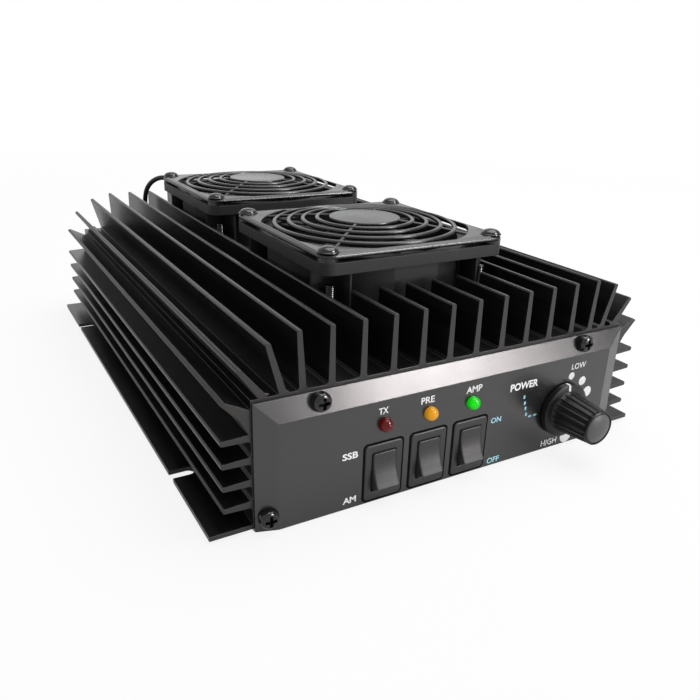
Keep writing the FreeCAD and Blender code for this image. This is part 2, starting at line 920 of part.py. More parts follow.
def indicator_lamps():
    """Three round lamps with a collar behind the panel and two legs, and their clips."""
    clips = []
    for index, label in enumerate(LAMPS):
        x = switch_place(index)
        z = d.lamp_height
        collar = cylinder(d.lamp_collar, d.lamp_collar_length, (x, FRONT, z), "y")
        barrel = cylinder(d.lamp_radius, d.lamp_length - d.lamp_radius, (x, FRONT, z), "-y")
        dome = sphere(d.lamp_radius, (x, FRONT - d.lamp_length + d.lamp_radius, z))
        pieces = [collar, barrel, dome]
        leg = FRONT + d.lamp_collar_length + d.lamp_leg_length / 2
        for side in SIDES:
            middle = x + side * d.lamp_leg_pitch / 2
            pieces.append(box((d.lamp_leg, d.lamp_leg_length, d.lamp_leg), (middle, leg, z - d.lamp_leg / 2)))
        node(label, fuse(pieces))
        bore = d.lamp_collar + d.lamp_fit
        clips.append(tube(d.clip_radius, bore, d.clip_length, (x, FRONT, z), "y"))
    node("led_clips", group(clips))


def switch_body(label, x):
    """A rocker switch's housing: a bezel on its seal and a box through the panel, hollow in front."""
    z = d.switch_height
    bezel_low = z - d.bezel_height / 2
    bezel = box((d.bezel_width, d.bezel_proud, d.bezel_height), (x, FACE - d.bezel_proud / 2, bezel_low))
    margin = 2 * d.seal_margin
    seal = box((d.bezel_width + margin, d.seal_thickness, d.bezel_height + margin),
               (x, FACE - d.seal_thickness / 2, bezel_low - d.seal_margin))
    inside = box((d.switch_width, d.switch_depth, d.switch_tall),
                 (x, FACE + d.switch_depth / 2, z - d.switch_tall / 2))
    half_height = d.rocker_reach + d.rocker_gap
    width = d.rocker_width + 2 * d.rocker_gap
    depth = d.pivot_inset + d.rocker_back + d.rocker_clearance
    front = FACE - d.bezel_proud
    opening = box((width, depth * 2, half_height * 2), (x, front, z - half_height))
    pin = d.rocker_width + 2 * d.pivot_length + 2 * d.pivot_end_gap
    pivot = cylinder(d.pivot_radius + d.pivot_fit, pin, (x - pin / 2, PIVOT, z), "x")
    node(label, cut(fuse([bezel, seal, inside]), [opening, pivot]))


def rocker(label, x):
    """A concave rocker on its two pivot pins, tilted with its top half pressed in."""
    lean = d.rocker_tilt
    side = d.rocker_reach * cosine(lean)
    rise = d.rocker_reach * sine(lean)
    dip = (d.rocker_crest - d.rocker_valley) / 4
    half = [
        (side, rise), (side, -rise), (d.rocker_crest_reach, -d.rocker_crest),
        (d.rocker_crest_reach / 2, -d.rocker_valley - dip),
    ]
    other_half = [(-across, along) for across, along in reversed(half)]
    back = [(-d.rocker_back_reach, d.rocker_back), (d.rocker_back_reach, d.rocker_back)]
    section = half + [(0, -d.rocker_valley)] + other_half + back
    paddle = prism(section, d.rocker_width, (-d.rocker_width / 2, 0, 0), "x")
    pin = d.rocker_width + 2 * d.pivot_length
    pins = cylinder(d.pivot_radius, pin, (-pin / 2, 0, 0), "x")
    tilt = FreeCAD.Rotation(Vector(1, 0, 0), -lean.value)
    node(label, place(fuse([paddle, pins]), (x, PIVOT, d.switch_height), tilt))


def switches():
    """Three rocker switches with three solder tabs each."""
    tabs = []
    back = FACE + d.switch_depth
    for index, name in enumerate(SWITCHES):
        x = switch_place(index)
        switch_body(f"{name}_switch_body", x)
        rocker(f"{name}_rocker", x)
        for step in (-1, 0, 1):
            low = d.switch_height + d.tab_pitch * step - d.tab_thickness / 2
            tabs.append(box((d.tab_width, d.tab_length, d.tab_thickness), (x, back + d.tab_length / 2, low)))
    node("switch_terminals", group(tabs))


def power_selector():
    """The rotary power selector: housing, washer, nut and shaft."""
    x = d.knob_offset
    z = d.knob_height
    bushing = d.panel_depth + d.washer_thickness + d.nut_thickness + d.bushing_end
    housing = cylinder(d.selector_radius, d.selector_depth, (x, FRONT, z), "y")
    neck = cylinder(d.bushing_radius, bushing, (x, FRONT, z), "-y")
    bore_start = FRONT + d.shaft_inset
    bore = cylinder(d.shaft_radius + d.shaft_fit, d.shaft_inset + bushing, (x, bore_start, z), "-y")
    node("power_selector", cut(fuse([housing, neck]), [bore]))
    hole = d.bushing_radius + d.screw_clearance
    washer_radius = d.nut_radius + d.washer_margin
    node("selector_washer", tube(washer_radius, hole, d.washer_thickness, (x, FACE, z), "-y"))
    nut_back = (x, FACE - d.washer_thickness, z)
    nut = hexagon(d.nut_radius, d.nut_thickness, nut_back, "-y")
    node("selector_nut", cut(nut, [cylinder(hole, d.nut_thickness, nut_back, "-y")]))
    start = bore_start - d.shaft_end_gap
    length = start - (KNOB_FRONT + d.knob_bore_end + d.shaft_end_gap)
    node("selector_shaft", cylinder(d.shaft_radius, length, (x, start, z), "-y"))


def flutes():
    """The tools for the grooves round the knob, each one leaning with its tapered side."""
    tools = []
    rise = d.knob_length - d.knob_skirt_thickness
    slope = Vector((d.knob_tip_radius - d.knob_base_radius).value, 0, rise.value)
    tilt = FreeCAD.Rotation(Vector(0, 0, 1), slope)
    radius = d.knob_base_radius + d.flute_radius * 0.6
    for index in range(FLUTES):
        spin = FreeCAD.Rotation(Vector(0, 0, 1), 360 * index / FLUTES)
        out = spin.multVec(Vector(1, 0, 0))
        at = (radius * out.x, radius * out.y, d.knob_skirt_thickness)
        tools.append(cylinder(d.flute_radius, rise * 1.2, at, spin * tilt))
    return tools


def power_knob():
    """The fluted knob with its skirt, its domed cap and the screw that grips the shaft."""
    rise = d.knob_length
    recess = d.washer_thickness + d.nut_thickness + d.bushing_end + d.knob_gap
    profile = [
        (0, 0), (d.knob_skirt_radius, 0),
        (d.knob_skirt_radius, d.knob_skirt_thickness - d.knob_skirt_slope),
        (d.knob_base_radius, d.knob_skirt_thickness),
        (d.knob_tip_radius, rise - 0.6), (d.knob_tip_radius - 0.6, rise), (0, rise),
    ]
    shaft_hole = cylinder(d.shaft_radius + d.knob_fit, rise - d.knob_bore_end, (0, 0, 0))
    nut_space = cylinder(d.knob_recess_radius, recess, (0, 0, 0))
    cap_seat = cylinder(d.cap_radius + d.knob_fit, d.cap_sink, (0, 0, rise - d.cap_sink))
    grip = (0, 0, rise * 0.6)
    side_hole = cylinder(d.screw_radius + d.knob_fit, d.knob_base_radius, grip, "-y")
    knob = cut(turned(profile, (0, 0, 0)), [shaft_hole, nut_space, cap_seat, side_hole] + flutes())
    place(knob, (d.knob_offset, KNOB_BACK, d.knob_height), "-y")
    node("power_knob", knob)
    edge = d.cap_radius
    dome = [(0, 0), (edge, 0), (edge, d.cap_sink)]
    dome += [(edge * share, d.cap_sink + d.cap_dome * (1 - share * share)) for share in (0.8, 0.55, 0.3)]
    dome += [(0, d.cap_sink + d.cap_dome)]
    node("power_knob_cap", turned(dome, (d.knob_offset, KNOB_FRONT + d.cap_sink, d.knob_height), "-y"))
    start = d.shaft_radius + d.knob_fit
    at = (d.knob_offset, KNOB_BACK - grip[2], d.knob_height - start)
    node("knob_set_screw", cylinder(d.screw_radius, d.set_screw_length, at, "-z"))


# --- fans -----------------------------------------------------------------------------------

def fan_screw_places():
    half = d.fan_size / 2 - d.fan_hole_inset
    return [(half * x, half * y) for x, y in CORNERS]


def bar(length, width, height, start, side, low, turn):
    """A bar that runs out from the fan's axis along a turned X, set to one side of it."""
    out = turn.multVec(Vector(1, 0, 0))
    across = turn.multVec(Vector(0, 1, 0))
    at = (start * out.x + side * across.x, start * out.y + side * across.y, low)
    solid = DOC.addObject("Part::Box", "bar")
    bind(solid, "Length", length)
    bind(solid, "Width", width)
    bind(solid, "Height", height)
    return place(solid, at, turn)


def quarters(turn):
    """Four turns about Z, a right angle apart."""
    return [FreeCAD.Rotation(Vector(0, 0, 1), 90 * index) * turn for index in range(4)]


def fan_frame():
    """A fan's housing: a wide top flange, a ring, a narrow foot, four struts and the bearing tube."""
    top = d.fan_thickness
    ring = common(cylinder(d.fan_ring_radius, top, (0, 0, 0)),
                  box((d.fan_foot_size, d.fan_foot_size, top), (0, 0, 0)))
    flange = rounded_plate(d.fan_size, d.fan_size, d.fan_flange, d.fan_corner, (0, 0, top - d.fan_flange))
    foot = rounded_plate(d.fan_foot_size, d.fan_foot_size, d.fan_foot_thickness, d.fan_corner, (0, 0, 0))
    half = d.stud_pitch / 2
    hole = d.guard_screw_radius + d.screw_clearance
    slot = 2 * (d.lead_radius + d.lead_fit)
    tools = [cylinder(d.fan_bore_radius, top, (0, 0, 0))]
    tools += [cylinder(hole, d.fan_flange, (x, y, top - d.fan_flange)) for x, y in fan_screw_places()]
    tools += [cylinder(STUD_HOLE, d.fan_foot_thickness, (half * x, half * y, 0)) for x, y in CORNERS]
    tools.append(bar(d.fan_size, slot, d.fan_flange, d.fan_bore_radius - 2, LEAD_SIDE - slot / 2,
                     LEAD_LEVEL - slot / 2, STRUT_TURN))
    pieces = [cut(fuse([ring, flange, foot]), tools)]
    pieces.append(cylinder(d.motor_base_radius, d.strut_depth, (0, 0, STRUT_LOW)))
    start = d.motor_base_radius - 1
    for turn in quarters(STRUT_TURN):
        pieces.append(bar(d.fan_ring_radius - start, d.strut_width, d.strut_depth, start,
                          -d.strut_width / 2, STRUT_LOW, turn))
    pieces.append(cylinder(d.bearing_radius, d.bearing_length, (0, 0, STRUT_LOW), "-z"))
    bearing_bore = cylinder(d.bearing_bore, d.bearing_length, (0, 0, STRUT_LOW), "-z")
    return cut(fuse(pieces), [bearing_bore])


def fan_rotor():
    """A fan's hub cup with its shaft and pitched blades."""
    low = d.hub_clearance
    outer = d.hub_radius
    inner = d.hub_radius - d.hub_wall
    shaft = d.rotor_shaft_radius
    shaft_top = STRUT_LOW - low - d.shaft_end_gap
    profile = [
        (0, 0), (outer - 1, 0), (outer, 1), (outer, d.hub_height), (inner, d.hub_height),
        (inner, d.hub_wall), (shaft, d.hub_wall), (shaft, shaft_top), (0, shaft_top),
    ]
    hub = turned(profile, (0, 0, low))
    reach = d.fan_bore_radius - d.blade_gap
    middle = low + d.blade_middle
    blades = []
    for index in range(BLADES):
        spin = FreeCAD.Rotation(Vector(0, 0, 1), 360 * index / BLADES)
        turn = spin * FreeCAD.Rotation(Vector(1, 0, 0), d.blade_pitch_angle.value)
        back = turn.multVec(Vector(0, -1, 0))
        half = d.blade_chord / 2
        blade = DOC.addObject("Part::Box", "blade")
        bind(blade, "Length", reach + 1)
        bind(blade, "Width", d.blade_chord)
        bind(blade, "Height", d.blade_thickness)
        blades.append(place(blade, (half * back.x, half * back.y, middle + half * back.z), turn))
    ring = tube(reach, outer - d.hub_wall / 2, d.fan_thickness, (0, 0, 0))
    return fuse([hub, common(fuse(blades), ring)])


def fan_motor():
    """The wound stator on the bearing tube inside the hub."""
    bore = d.bearing_radius + d.stator_fit
    return tube(d.stator_radius, bore, d.stator_height, (0, 0, STRUT_LOW - d.stator_drop), "-z")


def guard_opening():
    """The tool for a guard's opening: a circle cut short by the plate's rim."""
    half = d.fan_size - 2 * d.guard_rim
    square = box((half, half, d.guard_thickness), (0, 0, GUARD_BASE))
    return common(cylinder(d.guard_opening, d.guard_thickness, (0, 0, GUARD_BASE)), square)


def guard_rise(radius):
    """How far the domed rings stand above the guard's plate at a radius."""
    return d.guard_dome * (1 - radius * radius / (d.guard_opening * d.guard_opening))


def guard_dome():
    """The dome that the rings and spokes are cut from, flat in the middle."""
    top = GUARD_TOP
    edge = d.guard_opening + d.fan_corner
    radii = [d.guard_disc + d.guard_ring_pitch * ring for ring in range(GUARD_RINGS + 1)]
    upper = [(radius, top + guard_rise(radius)) for radius in radii] + [(edge, top - d.guard_web / 2)]
    lower = [(radius, height - d.guard_web) for radius, height in reversed(upper)]
    middle = top + guard_rise(d.guard_disc)
    profile = [(0, middle)] + upper + [(edge, GUARD_BASE)] + lower[1:] + [(0, middle - d.guard_web)]
    return turned(profile, (0, 0, 0))


def fan_guard():
    """A finger guard: a bevelled plate on four feet, with domed rings, spokes and a middle disc."""
    height = 2 * (d.guard_thickness + d.guard_dome)
    plate = rounded_plate(d.fan_size, d.fan_size, d.guard_thickness, d.fan_corner, (0, 0, GUARD_BASE),
                          chamfer=d.guard_chamfer)
    lattice = [cylinder(d.guard_disc, height, (0, 0, d.fan_thickness))]
    for ring in range(1, GUARD_RINGS + 1):
        outer = d.guard_disc + d.guard_ring_pitch * ring
        lattice.append(tube(outer, outer - d.guard_ring_width, height, (0, 0, d.fan_thickness)))
    for turn in quarters(SPOKE_TURN):
        lattice.append(bar(d.guard_opening + 1, d.guard_spoke, height, as_size(0),
                           -d.guard_spoke / 2, d.fan_thickness, turn))
    pieces = [cut(plate, [guard_opening()]), common(fuse(lattice), guard_dome())]
    for x, y in fan_screw_places():
        pieces.append(cylinder(d.guard_foot_radius, d.guard_gap + d.guard_thickness / 2, (x, y, GUARD_FOOT)))
    hole = d.guard_screw_radius + d.screw_clearance
    holes = [cylinder(hole, height, (x, y, GUARD_FOOT)) for x, y in fan_screw_places()]
    return cut(fuse(pieces), holes)


def dome_screw(at):
    """A low domed screw that points down from a point."""
    radius = d.guard_head_radius
    height = d.guard_head_height
    dome = [(radius * share, -height * sqrt(1 - share ** 2)) for share in (0.35, 0.6, 0.8, 0.93)]
    profile = [(0, -height)] + dome + [
        (radius, 0), (d.guard_screw_radius, 0), (d.guard_screw_radius, d.guard_screw_length),
        (0, d.guard_screw_length),
    ]
    return turned(profile, at, "-z")


def fans():
    """Both fans with their guards and fixings."""
    makers = {"frame": fan_frame, "rotor": fan_rotor, "motor": fan_motor, "guard": fan_guard}
    guard_screws = []
    for name, side in (("front", -1), ("rear", 1)):
        centre = side * d.fan_offset
        for piece, maker in makers.items():
            node(f"{name}_fan_{piece}", place(maker(), (0, centre, FAN_FLOOR)))
        for x, y in fan_screw_places():
            guard_screws.append(dome_screw((x, centre + y, FAN_FLOOR + GUARD_TOP)))
    node("fan_guard_screws", group(guard_screws))
    foot_top = FAN_FLOOR + d.fan_foot_thickness
    low = CEILING + d.blind_floor + 1
    high = foot_top + d.stud_reach
    studs = []
    nuts = []
    spacers = []
    for x, y in stud_places():
        studs.append(cylinder(d.stud_radius, high - low, (x, y, low)))
        nut = hexagon(d.stud_nut_radius, d.stud_nut_height, (x, y, foot_top))
        nuts.append(cut(nut, [cylinder(STUD_HOLE, d.stud_nut_height, (x, y, foot_top))]))
        spacers.append(tube(d.spacer_radius, STUD_HOLE, d.stub_height, (x, y, ROOF)))
    node("fan_studs", group(studs))
    node("fan_nuts", group(nuts))
    node("fan_spacers", group(spacers))


# --- fan leads ------------------------------------------------------------------------------

def lead_start(centre):
    """Where a fan's lead leaves the motor base and where it has cleared the flange."""
    out = STRUT_TURN.multVec(Vector(1, 0, 0))
    across = STRUT_TURN.multVec(Vector(0, 1, 0))
    level = FAN_FLOOR + LEAD_LEVEL
    return [
        (along * out.x + LEAD_SIDE * across.x, centre + along * out.y + LEAD_SIDE * across.y, level)
        for along in (d.motor_base_radius, d.fan_size / 2 + d.lead_clear)
    ]


def shape_node(label, solids):
    """A node whose shape this source makes itself."""
    feature = DOC.addObject("Part::Feature", label)
    feature.Shape = solids[0] if len(solids) == 1 else Part.makeCompound(solids)
    return node(label, feature)


def fan_leads():
    """The two fan leads, from the motors through the grommets in the roof to the board."""
    x, y = REAR_LEAD
    level = FAN_FLOOR + LEAD_LEVEL
    run = y - BOARD_REAR + d.lead_board_inset
    points = lead_start(d.fan_offset) + [
        (x + 8.5, y - 9, level + 3.5), (x + 1.5, y - 2.5, level - 2.5), (x, y, level - 14),
        (x, y, CEILING - 9), (x, y - run * 0.4, CEILING - 12), (x, y - run * 0.8, CEILING - 13),
        (x, y - run, BOARD_BOTTOM - 5), (x, y - run, BOARD_BOTTOM),
    ]
    shape_node("rear_fan_lead", [lead(points, d.lead_radius)])
    x, y = FRONT_LEAD
    points = lead_start(-d.fan_offset) + [
        (x - 4.7, y - 4.5, level - 7.5), (x, y, level - 18), (x, y, BOARD_TOP),
    ]
    shape_node("front_fan_lead", [lead(points, d.lead_radius)])
    grommets = []
    low = CEILING - d.grommet_lip_height
    high = ROOF + d.grommet_lip_height
    bore = d.lead_radius + d.lead_fit
    for x, y in (REAR_LEAD, FRONT_LEAD):
        profile = [
            (bore, low), (d.grommet_lip, low), (d.grommet_lip, CEILING), (d.grommet_radius, CEILING),
            (d.grommet_radius, ROOF), (d.grommet_lip, ROOF), (d.grommet_lip, high), (bore, high),
        ]
        grommets.append(turned(profile, (x, y, 0)))
    node("lead_grommets", group(grommets))


# --- rear connectors ------------------------------------------------------------------------

def socket_screw_places():
    """The screws of both sockets, as (x, z)."""
    half = d.socket_screw_pitch / 2
    return [
        (side * d.socket_offset + half * x, d.socket_height + half * z)
        for side in SIDES for x, z in CORNERS
    ]


def aerial_socket(label, x, insulators, contacts):
    """A coaxial socket: a square flange, a threaded barrel, a tail, its insulator and contact."""
    z = d.socket_height
    low = z - d.socket_flange / 2
    thickness = d.socket_flange_thickness
    flange = box((d.socket_flange, thickness, d.socket_flange), (x, REAR_FACE + thickness / 2, low))
    reach = thickness + d.socket_barrel_length
    barrel = cylinder(d.socket_barrel_radius, reach, (x, REAR_FACE, z), "y")
    tail_length = d.panel_depth + d.socket_tail_length
    tail = cylinder(d.socket_tail_radius, tail_length, (x, REAR_FACE, z), "-y")
    core = d.contact_radius + d.insulator_fit
    tools = [cylinder(d.socket_bore_radius, reach, (x, REAR_FACE, z), "y")]
    tools.append(cylinder(core, tail_length, (x, REAR_FACE, z), "-y"))
    for place_x, place_z in socket_screw_places():
        tools.append(cylinder(SCREW_HOLE, thickness, (place_x, REAR_FACE, place_z), "y"))
    node(label, cut(fuse([flange, barrel, tail]), tools))
    wide = d.socket_bore_radius - d.insulator_fit
    tip = reach - d.insulator_recess
    profile = [
        (core, 0), (wide, 0), (wide, d.insulator_base), (d.insulator_radius, d.insulator_base),
        (d.insulator_radius, tip), (core, tip),
    ]
    insulators.append(turned(profile, (x, REAR_FACE, z), "y"))
    back = REAR_FACE - tail_length - d.contact_tail
    length = tail_length + d.contact_tail + tip
    bar_solid = cylinder(d.contact_radius, length, (x, back, z), "y")
    hollow = cylinder(d.contact_bore, tip, (x, REAR_FACE, z), "y")
    contacts.append(cut(bar_solid, [hollow]))


def rear_connectors():
    """Both sockets with their screws, and the gland for the supply lead with its nut."""
    insulators = []
    contacts = []
    for label, side in (("input_socket", -1), ("output_socket", 1)):
        aerial_socket(label, side * d.socket_offset, insulators, contacts)
    node("socket_insulators", group(insulators))
    node("socket_contacts", group(contacts))
    seat = REAR_FACE + d.socket_flange_thickness
    length = d.socket_flange_thickness + d.panel_depth + 1
    screws = [
        pan_screw((x, seat, z), "-y", length, d.screw_radius, d.small_head_radius, d.small_head_height)
        for x, z in socket_screw_places()
    ]
    node("socket_screws", group(screws))
    flange = -d.gland_flange_thickness
    end = d.panel_depth + d.gland_length
    dome = flange - d.gland_dome_length
    profile = [
        (d.gland_bore_radius, dome), (d.gland_dome_radius, dome), (d.gland_flange_radius - 1.5, flange),
        (d.gland_flange_radius, flange), (d.gland_flange_radius, 0), (d.gland_radius, 0),
        (d.gland_radius, end), (d.gland_bore_radius, end),
    ]
    node("cable_gland", turned(profile, (0, REAR_FACE, d.socket_height), "-y"))
    at = (0, REAR, d.socket_height)
    nut = hexagon(d.gland_nut_radius, d.gland_nut_thickness, at, "-y")
    bore = d.gland_radius + d.screw_clearance
    node("gland_nut", cut(nut, [cylinder(bore, d.gland_nut_thickness, at, "-y")]))


# --- circuit board --------------------------------------------------------------------------

def circuit_board():
    """The board under the ceiling, its stand-offs and the screws that hold it up."""
    board = box((d.board_width, d.board_length, d.board_thickness), (0, d.board_shift, BOARD_BOTTOM))
    tools = []
    width = d.transistor_flange_width + 2 * d.cutout_gap
    depth = d.transistor_flange_depth + 2 * d.cutout_gap
    for x, y in transistor_places():
        tools.append(box((width, depth, d.board_thickness), (x, y, BOARD_BOTTOM)))
    standoffs = []
    screws = []
    length = d.board_thickness + d.standoff_height + d.top_wall - d.blind_floor - 1
    for x, y in standoff_places():
        tools.append(cylinder(d.standoff_bore, d.board_thickness, (x, y, BOARD_BOTTOM)))
        standoffs.append(tube(d.standoff_radius, d.standoff_bore, d.standoff_height, (x, y, BOARD_TOP)))
        screws.append(pan_screw((x, y, BOARD_BOTTOM), "z", length, d.screw_radius, d.small_head_radius,
                                d.small_head_height))
    node("circuit_board", cut(board, tools))
    node("board_standoffs", group(standoffs))
    node("board_screws", group(screws))


def power_transistors():
    """Four power transistors clamped to the ceiling, their tabs on the board, and their screws."""
    transistors = []
    under = CEILING - d.transistor_flange_thickness
    for x, y in transistor_places():
        flange = box((d.transistor_flange_width, d.transistor_flange_depth, d.transistor_flange_thickness),
                     (x, y, under))
        low = under - d.transistor_body_height
        body = box((d.transistor_body_width, d.transistor_flange_depth, d.transistor_body_height), (x, y, low))
        tabs = box((d.transistor_tab_width, d.transistor_flange_depth + 2 * d.transistor_tab_reach,
                    d.transistor_tab_thickness), (x, y, BOARD_TOP))
        half = d.transistor_hole_pitch / 2
        holes = [
            cylinder(SCREW_HOLE, d.transistor_flange_thickness, (x + side * half, y, under)) for side in SIDES
        ]
        transistors.append(cut(fuse([flange, body, tabs]), holes))
    node("power_transistors", group(transistors))
    length = d.transistor_flange_thickness + d.top_wall - d.blind_floor - 1
    screws = [
        pan_screw((x, y, under), "z", length, d.screw_radius, d.small_head_radius, d.small_head_height)
        for x, y in transistor_screw_places()
    ]
    node("transistor_screws", group(screws))


def transformers():
    """Two transformers: each a pair of ferrite tubes between two end plates under the board."""
    cores = []
    plates = []
    width = d.tube_spacing + 2 * (d.tube_radius + d.end_plate_margin)
    height = 2 * (d.tube_radius + d.end_plate_margin)
    middle = BOARD_BOTTOM - height / 2
    for end in SIDES:
        row = d.board_shift + end * d.transformer_row
        start = row - d.tube_length / 2
        for side in SIDES:
            x = side * d.tube_spacing / 2
            cores.append(tube(d.tube_radius, d.tube_bore, d.tube_length, (x, start, middle), "y"))
            at = row + side * (d.tube_length + d.end_plate_thickness) / 2
            plates.append(box((width, d.end_plate_thickness, height), (0, at, BOARD_BOTTOM - height)))
    node("transformer_cores", group(cores))
    node("transformer_frames", group(plates))


def board_parts():
    """Relays, capacitors, filter coils and fuses on the underside of the board."""
    middle = d.board_shift
    relays = [
        box((d.relay_width, d.relay_length, d.relay_height),
            (d.relay_offset * step, middle + d.relay_row, BOARD_BOTTOM - d.relay_height))
        for step in (-1, 0, 1)
    ]
    node("relays", group(relays))
    cans = [
        cylinder(d.can_radius, d.can_height, (d.can_spacing * step, middle - d.can_row, BOARD_BOTTOM), "-z")
        for step in (-1, 0, 1)
    ]
    node("electrolytic_capacitors", group(cans))
    coils = []
    for side in SIDES:
        for step in (-1, 0, 1):
            coil = DOC.addObject("Part::Torus", "coil")
            bind(coil, "Radius1", d.coil_radius)
            bind(coil, "Radius2", d.coil_thickness)
            row = middle - d.coil_row + d.coil_spacing * step
            coils.append(place(coil, (side * d.coil_offset, row, BOARD_BOTTOM - d.coil_thickness)))
    node("filter_coils", group(coils))
    fuses = [
        box((d.fuse_width, d.fuse_thickness, d.fuse_height),
            (side * d.fuse_offset, middle - d.fuse_row, BOARD_BOTTOM - d.fuse_height))
        for side in SIDES
    ]
    node("power_fuses", group(fuses))


def inner_wiring():
    """Coaxial leads from the sockets and wires from the front controls, all ending on the board."""
    solids = []
    z = d.socket_height
    start = REAR - d.socket_tail_length - d.contact_tail
    end = BOARD_REAR - d.wire_inset
    run = start - end
    for side in SIDES:
        x = side * d.socket_offset
        last = side * d.coax_offset
        points = [
            (x, start, z), (x, start - run * 0.2, z), (x - side * 5, start - run * 0.5, z - 4),
            (last + side * 4, end + run * 0.15, z - 4), (last, end, z + 3), (last, end, BOARD_BOTTOM),
        ]
        solids.append(lead(points, d.coax_radius))
    shape_node("coax_leads", solids)
    solids = []
    end = BOARD_FRONT + d.wire_inset
    tabs = FACE + d.switch_depth + d.tab_length
    starts = [(switch_place(index), tabs, d.switch_height) for index in range(len(SWITCHES))]
    starts.append((d.knob_offset, FRONT + d.selector_depth, d.knob_height))
    for x, y, z in starts:
        middle = (y + end) / 2
        points = [
            (x, y, z), (x, y + 6, z), (x, middle, z - 3), (x, end - 3, z + 2), (x, end, z + 9),
            (x, end, BOARD_BOTTOM),
        ]
        solids.append(lead(points, d.wire_radius))
    shape_node("front_harness", solids)


# --- the whole amplifier --------------------------------------------------------------------

def check():
    """Stops with a list of every object that failed to build."""
    DOC.recompute()
    bad = [f"{thing.Label}: {thing.State}" for thing in DOC.Objects
           if "Invalid" in thing.State or "Error" in thing.State]
    for thing in NODES:
        if thing.Shape.isNull() or not thing.Shape.isValid() or not thing.Shape.Solids:
            bad.append(f"{thing.Label}: shape is empty or not valid")
    if bad:
        raise RuntimeError("; ".join(bad))


def export():
    """Writes every sub-part to a file of its own."""
    os.makedirs("parts", exist_ok=True)
    for thing in NODES:
        thing.Shape.exportStep(f"parts/{thing.Label}.step")
        print(f"{thing.Label}: {len(thing.Shape.Solids)} solids, {thing.Shape.Volume:.0f} mm3")


for build in (heatsink, bottom_plate, front_panel, rear_panel, indicator_lamps, switches, power_selector,
              power_knob, fans, fan_leads, rear_connectors, circuit_board, power_transistors,
              transformers, board_parts, inner_wiring):
    build()
check()
export()
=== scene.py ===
# %% [markdown]
# # An HF linear amplifier, dressed piece by piece
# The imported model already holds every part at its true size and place, and this script never moves
# those parts.  It gives them finishes, and where a part is too plain close up it makes a finer piece
# in the same place.  +Z is up and the front panel faces -Y.  Blender works in metres; the shapes
# below are worked out in millimetres and scaled once, when they become meshes.

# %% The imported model
import json
from math import cos, pi, radians, sin

import bmesh
import bpy
import numpy as np
from mathutils import Matrix, Vector


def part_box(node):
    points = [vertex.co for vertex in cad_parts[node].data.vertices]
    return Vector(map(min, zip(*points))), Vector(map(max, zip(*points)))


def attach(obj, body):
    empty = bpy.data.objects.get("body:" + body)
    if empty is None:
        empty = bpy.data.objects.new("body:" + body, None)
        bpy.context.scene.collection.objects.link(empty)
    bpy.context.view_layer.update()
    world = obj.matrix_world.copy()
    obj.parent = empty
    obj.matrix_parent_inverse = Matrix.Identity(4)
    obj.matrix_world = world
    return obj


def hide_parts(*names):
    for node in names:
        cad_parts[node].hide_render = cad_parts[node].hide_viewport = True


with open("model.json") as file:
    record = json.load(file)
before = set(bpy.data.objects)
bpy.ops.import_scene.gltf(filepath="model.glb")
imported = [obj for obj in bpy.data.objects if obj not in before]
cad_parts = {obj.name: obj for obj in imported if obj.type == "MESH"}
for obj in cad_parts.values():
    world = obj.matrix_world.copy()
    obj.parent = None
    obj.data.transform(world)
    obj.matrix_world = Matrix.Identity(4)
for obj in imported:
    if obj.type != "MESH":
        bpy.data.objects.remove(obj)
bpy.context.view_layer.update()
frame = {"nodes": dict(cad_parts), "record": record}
nodes = frame["nodes"]

# %% [markdown]
# ## Camera
# The camera looks down on the front left corner from close by, which is why the fins spread so much.
# A camera looks along its own -Z, so its turn is built from three directions: right, up and back.

# %% Camera
AZIMUTH, ELEVATION, ROLL = radians(30.453), radians(22.006), radians(1.852)


def look(azimuth, elevation, roll):
    """The camera's turn: forward from the two angles, right level with the ground, then the roll."""
    forward = np.array([sin(azimuth) * cos(elevation), cos(azimuth) * cos(elevation), -sin(elevation)])
    level = np.array([cos(azimuth), -sin(azimuth), 0.0])
    upright = np.cross(level, forward)
    right = cos(roll) * level + sin(roll) * upright
    up = cos(roll) * upright - sin(roll) * level
    return Matrix(np.column_stack([right, up, -forward]).tolist()).to_4x4()


lens = bpy.data.cameras.new("camera")
lens.lens = 36.246
lens.sensor_width = 36.0
lens.clip_start = 0.01
camera = bpy.data.objects.new("camera", lens)
camera.matrix_world = Matrix.Translation((-0.1475, -0.2979, 0.1379)) @ look(AZIMUTH, ELEVATION, ROLL)
bpy.context.scene.collection.objects.link(camera)
bpy.context.scene.camera = camera
print("camera at", [round(value, 4) for value in camera.location])

# %% [markdown]
# ## World and lamps
# The amplifier is black, so most of what one sees on it is reflections.  The world is plain white to
# the camera, nearly white in mirrors and a softer grey where it lights matt surfaces, so black stays
# black.  Its right side is dark in mirrors, as behind a screen, which keeps the panel's right edge
# dark.  A low lamp at the front right makes the panel's upper bevel shine, while the panel's face,
# which mirrors the floor, stays dark.  A wide lamp behind draws a line along every fin, and a small
# bright one puts the sparks on domed screws and lenses.  Nodes are added so often that one short
# helper adds a node, sets its values and links it in a single line.

# %% One node in one line
def step(tree, kind, inputs=(), **settings):
    """Adds one node.  Inputs go by name or place; a socket is linked and any other value is set."""
    made = tree.nodes.new("ShaderNode" + kind)
    for name, value in settings.items():
        setattr(made, name, value)
    for name, value in inputs.items() if isinstance(inputs, dict) else enumerate(inputs):
        if isinstance(value, bpy.types.NodeSocket):
            tree.links.new(value, made.inputs[name])
        elif value is not None:
            made.inputs[name].default_value = value
    return made.outputs


def empty_tree(owner):
    """The node tree of a world or material, with its first nodes cleared away."""
    owner.use_nodes = True
    owner.node_tree.nodes.clear()
    return owner.node_tree


print("a node takes one line")

# %% World and lamps
bpy.context.scene.view_settings.view_transform = "Standard"


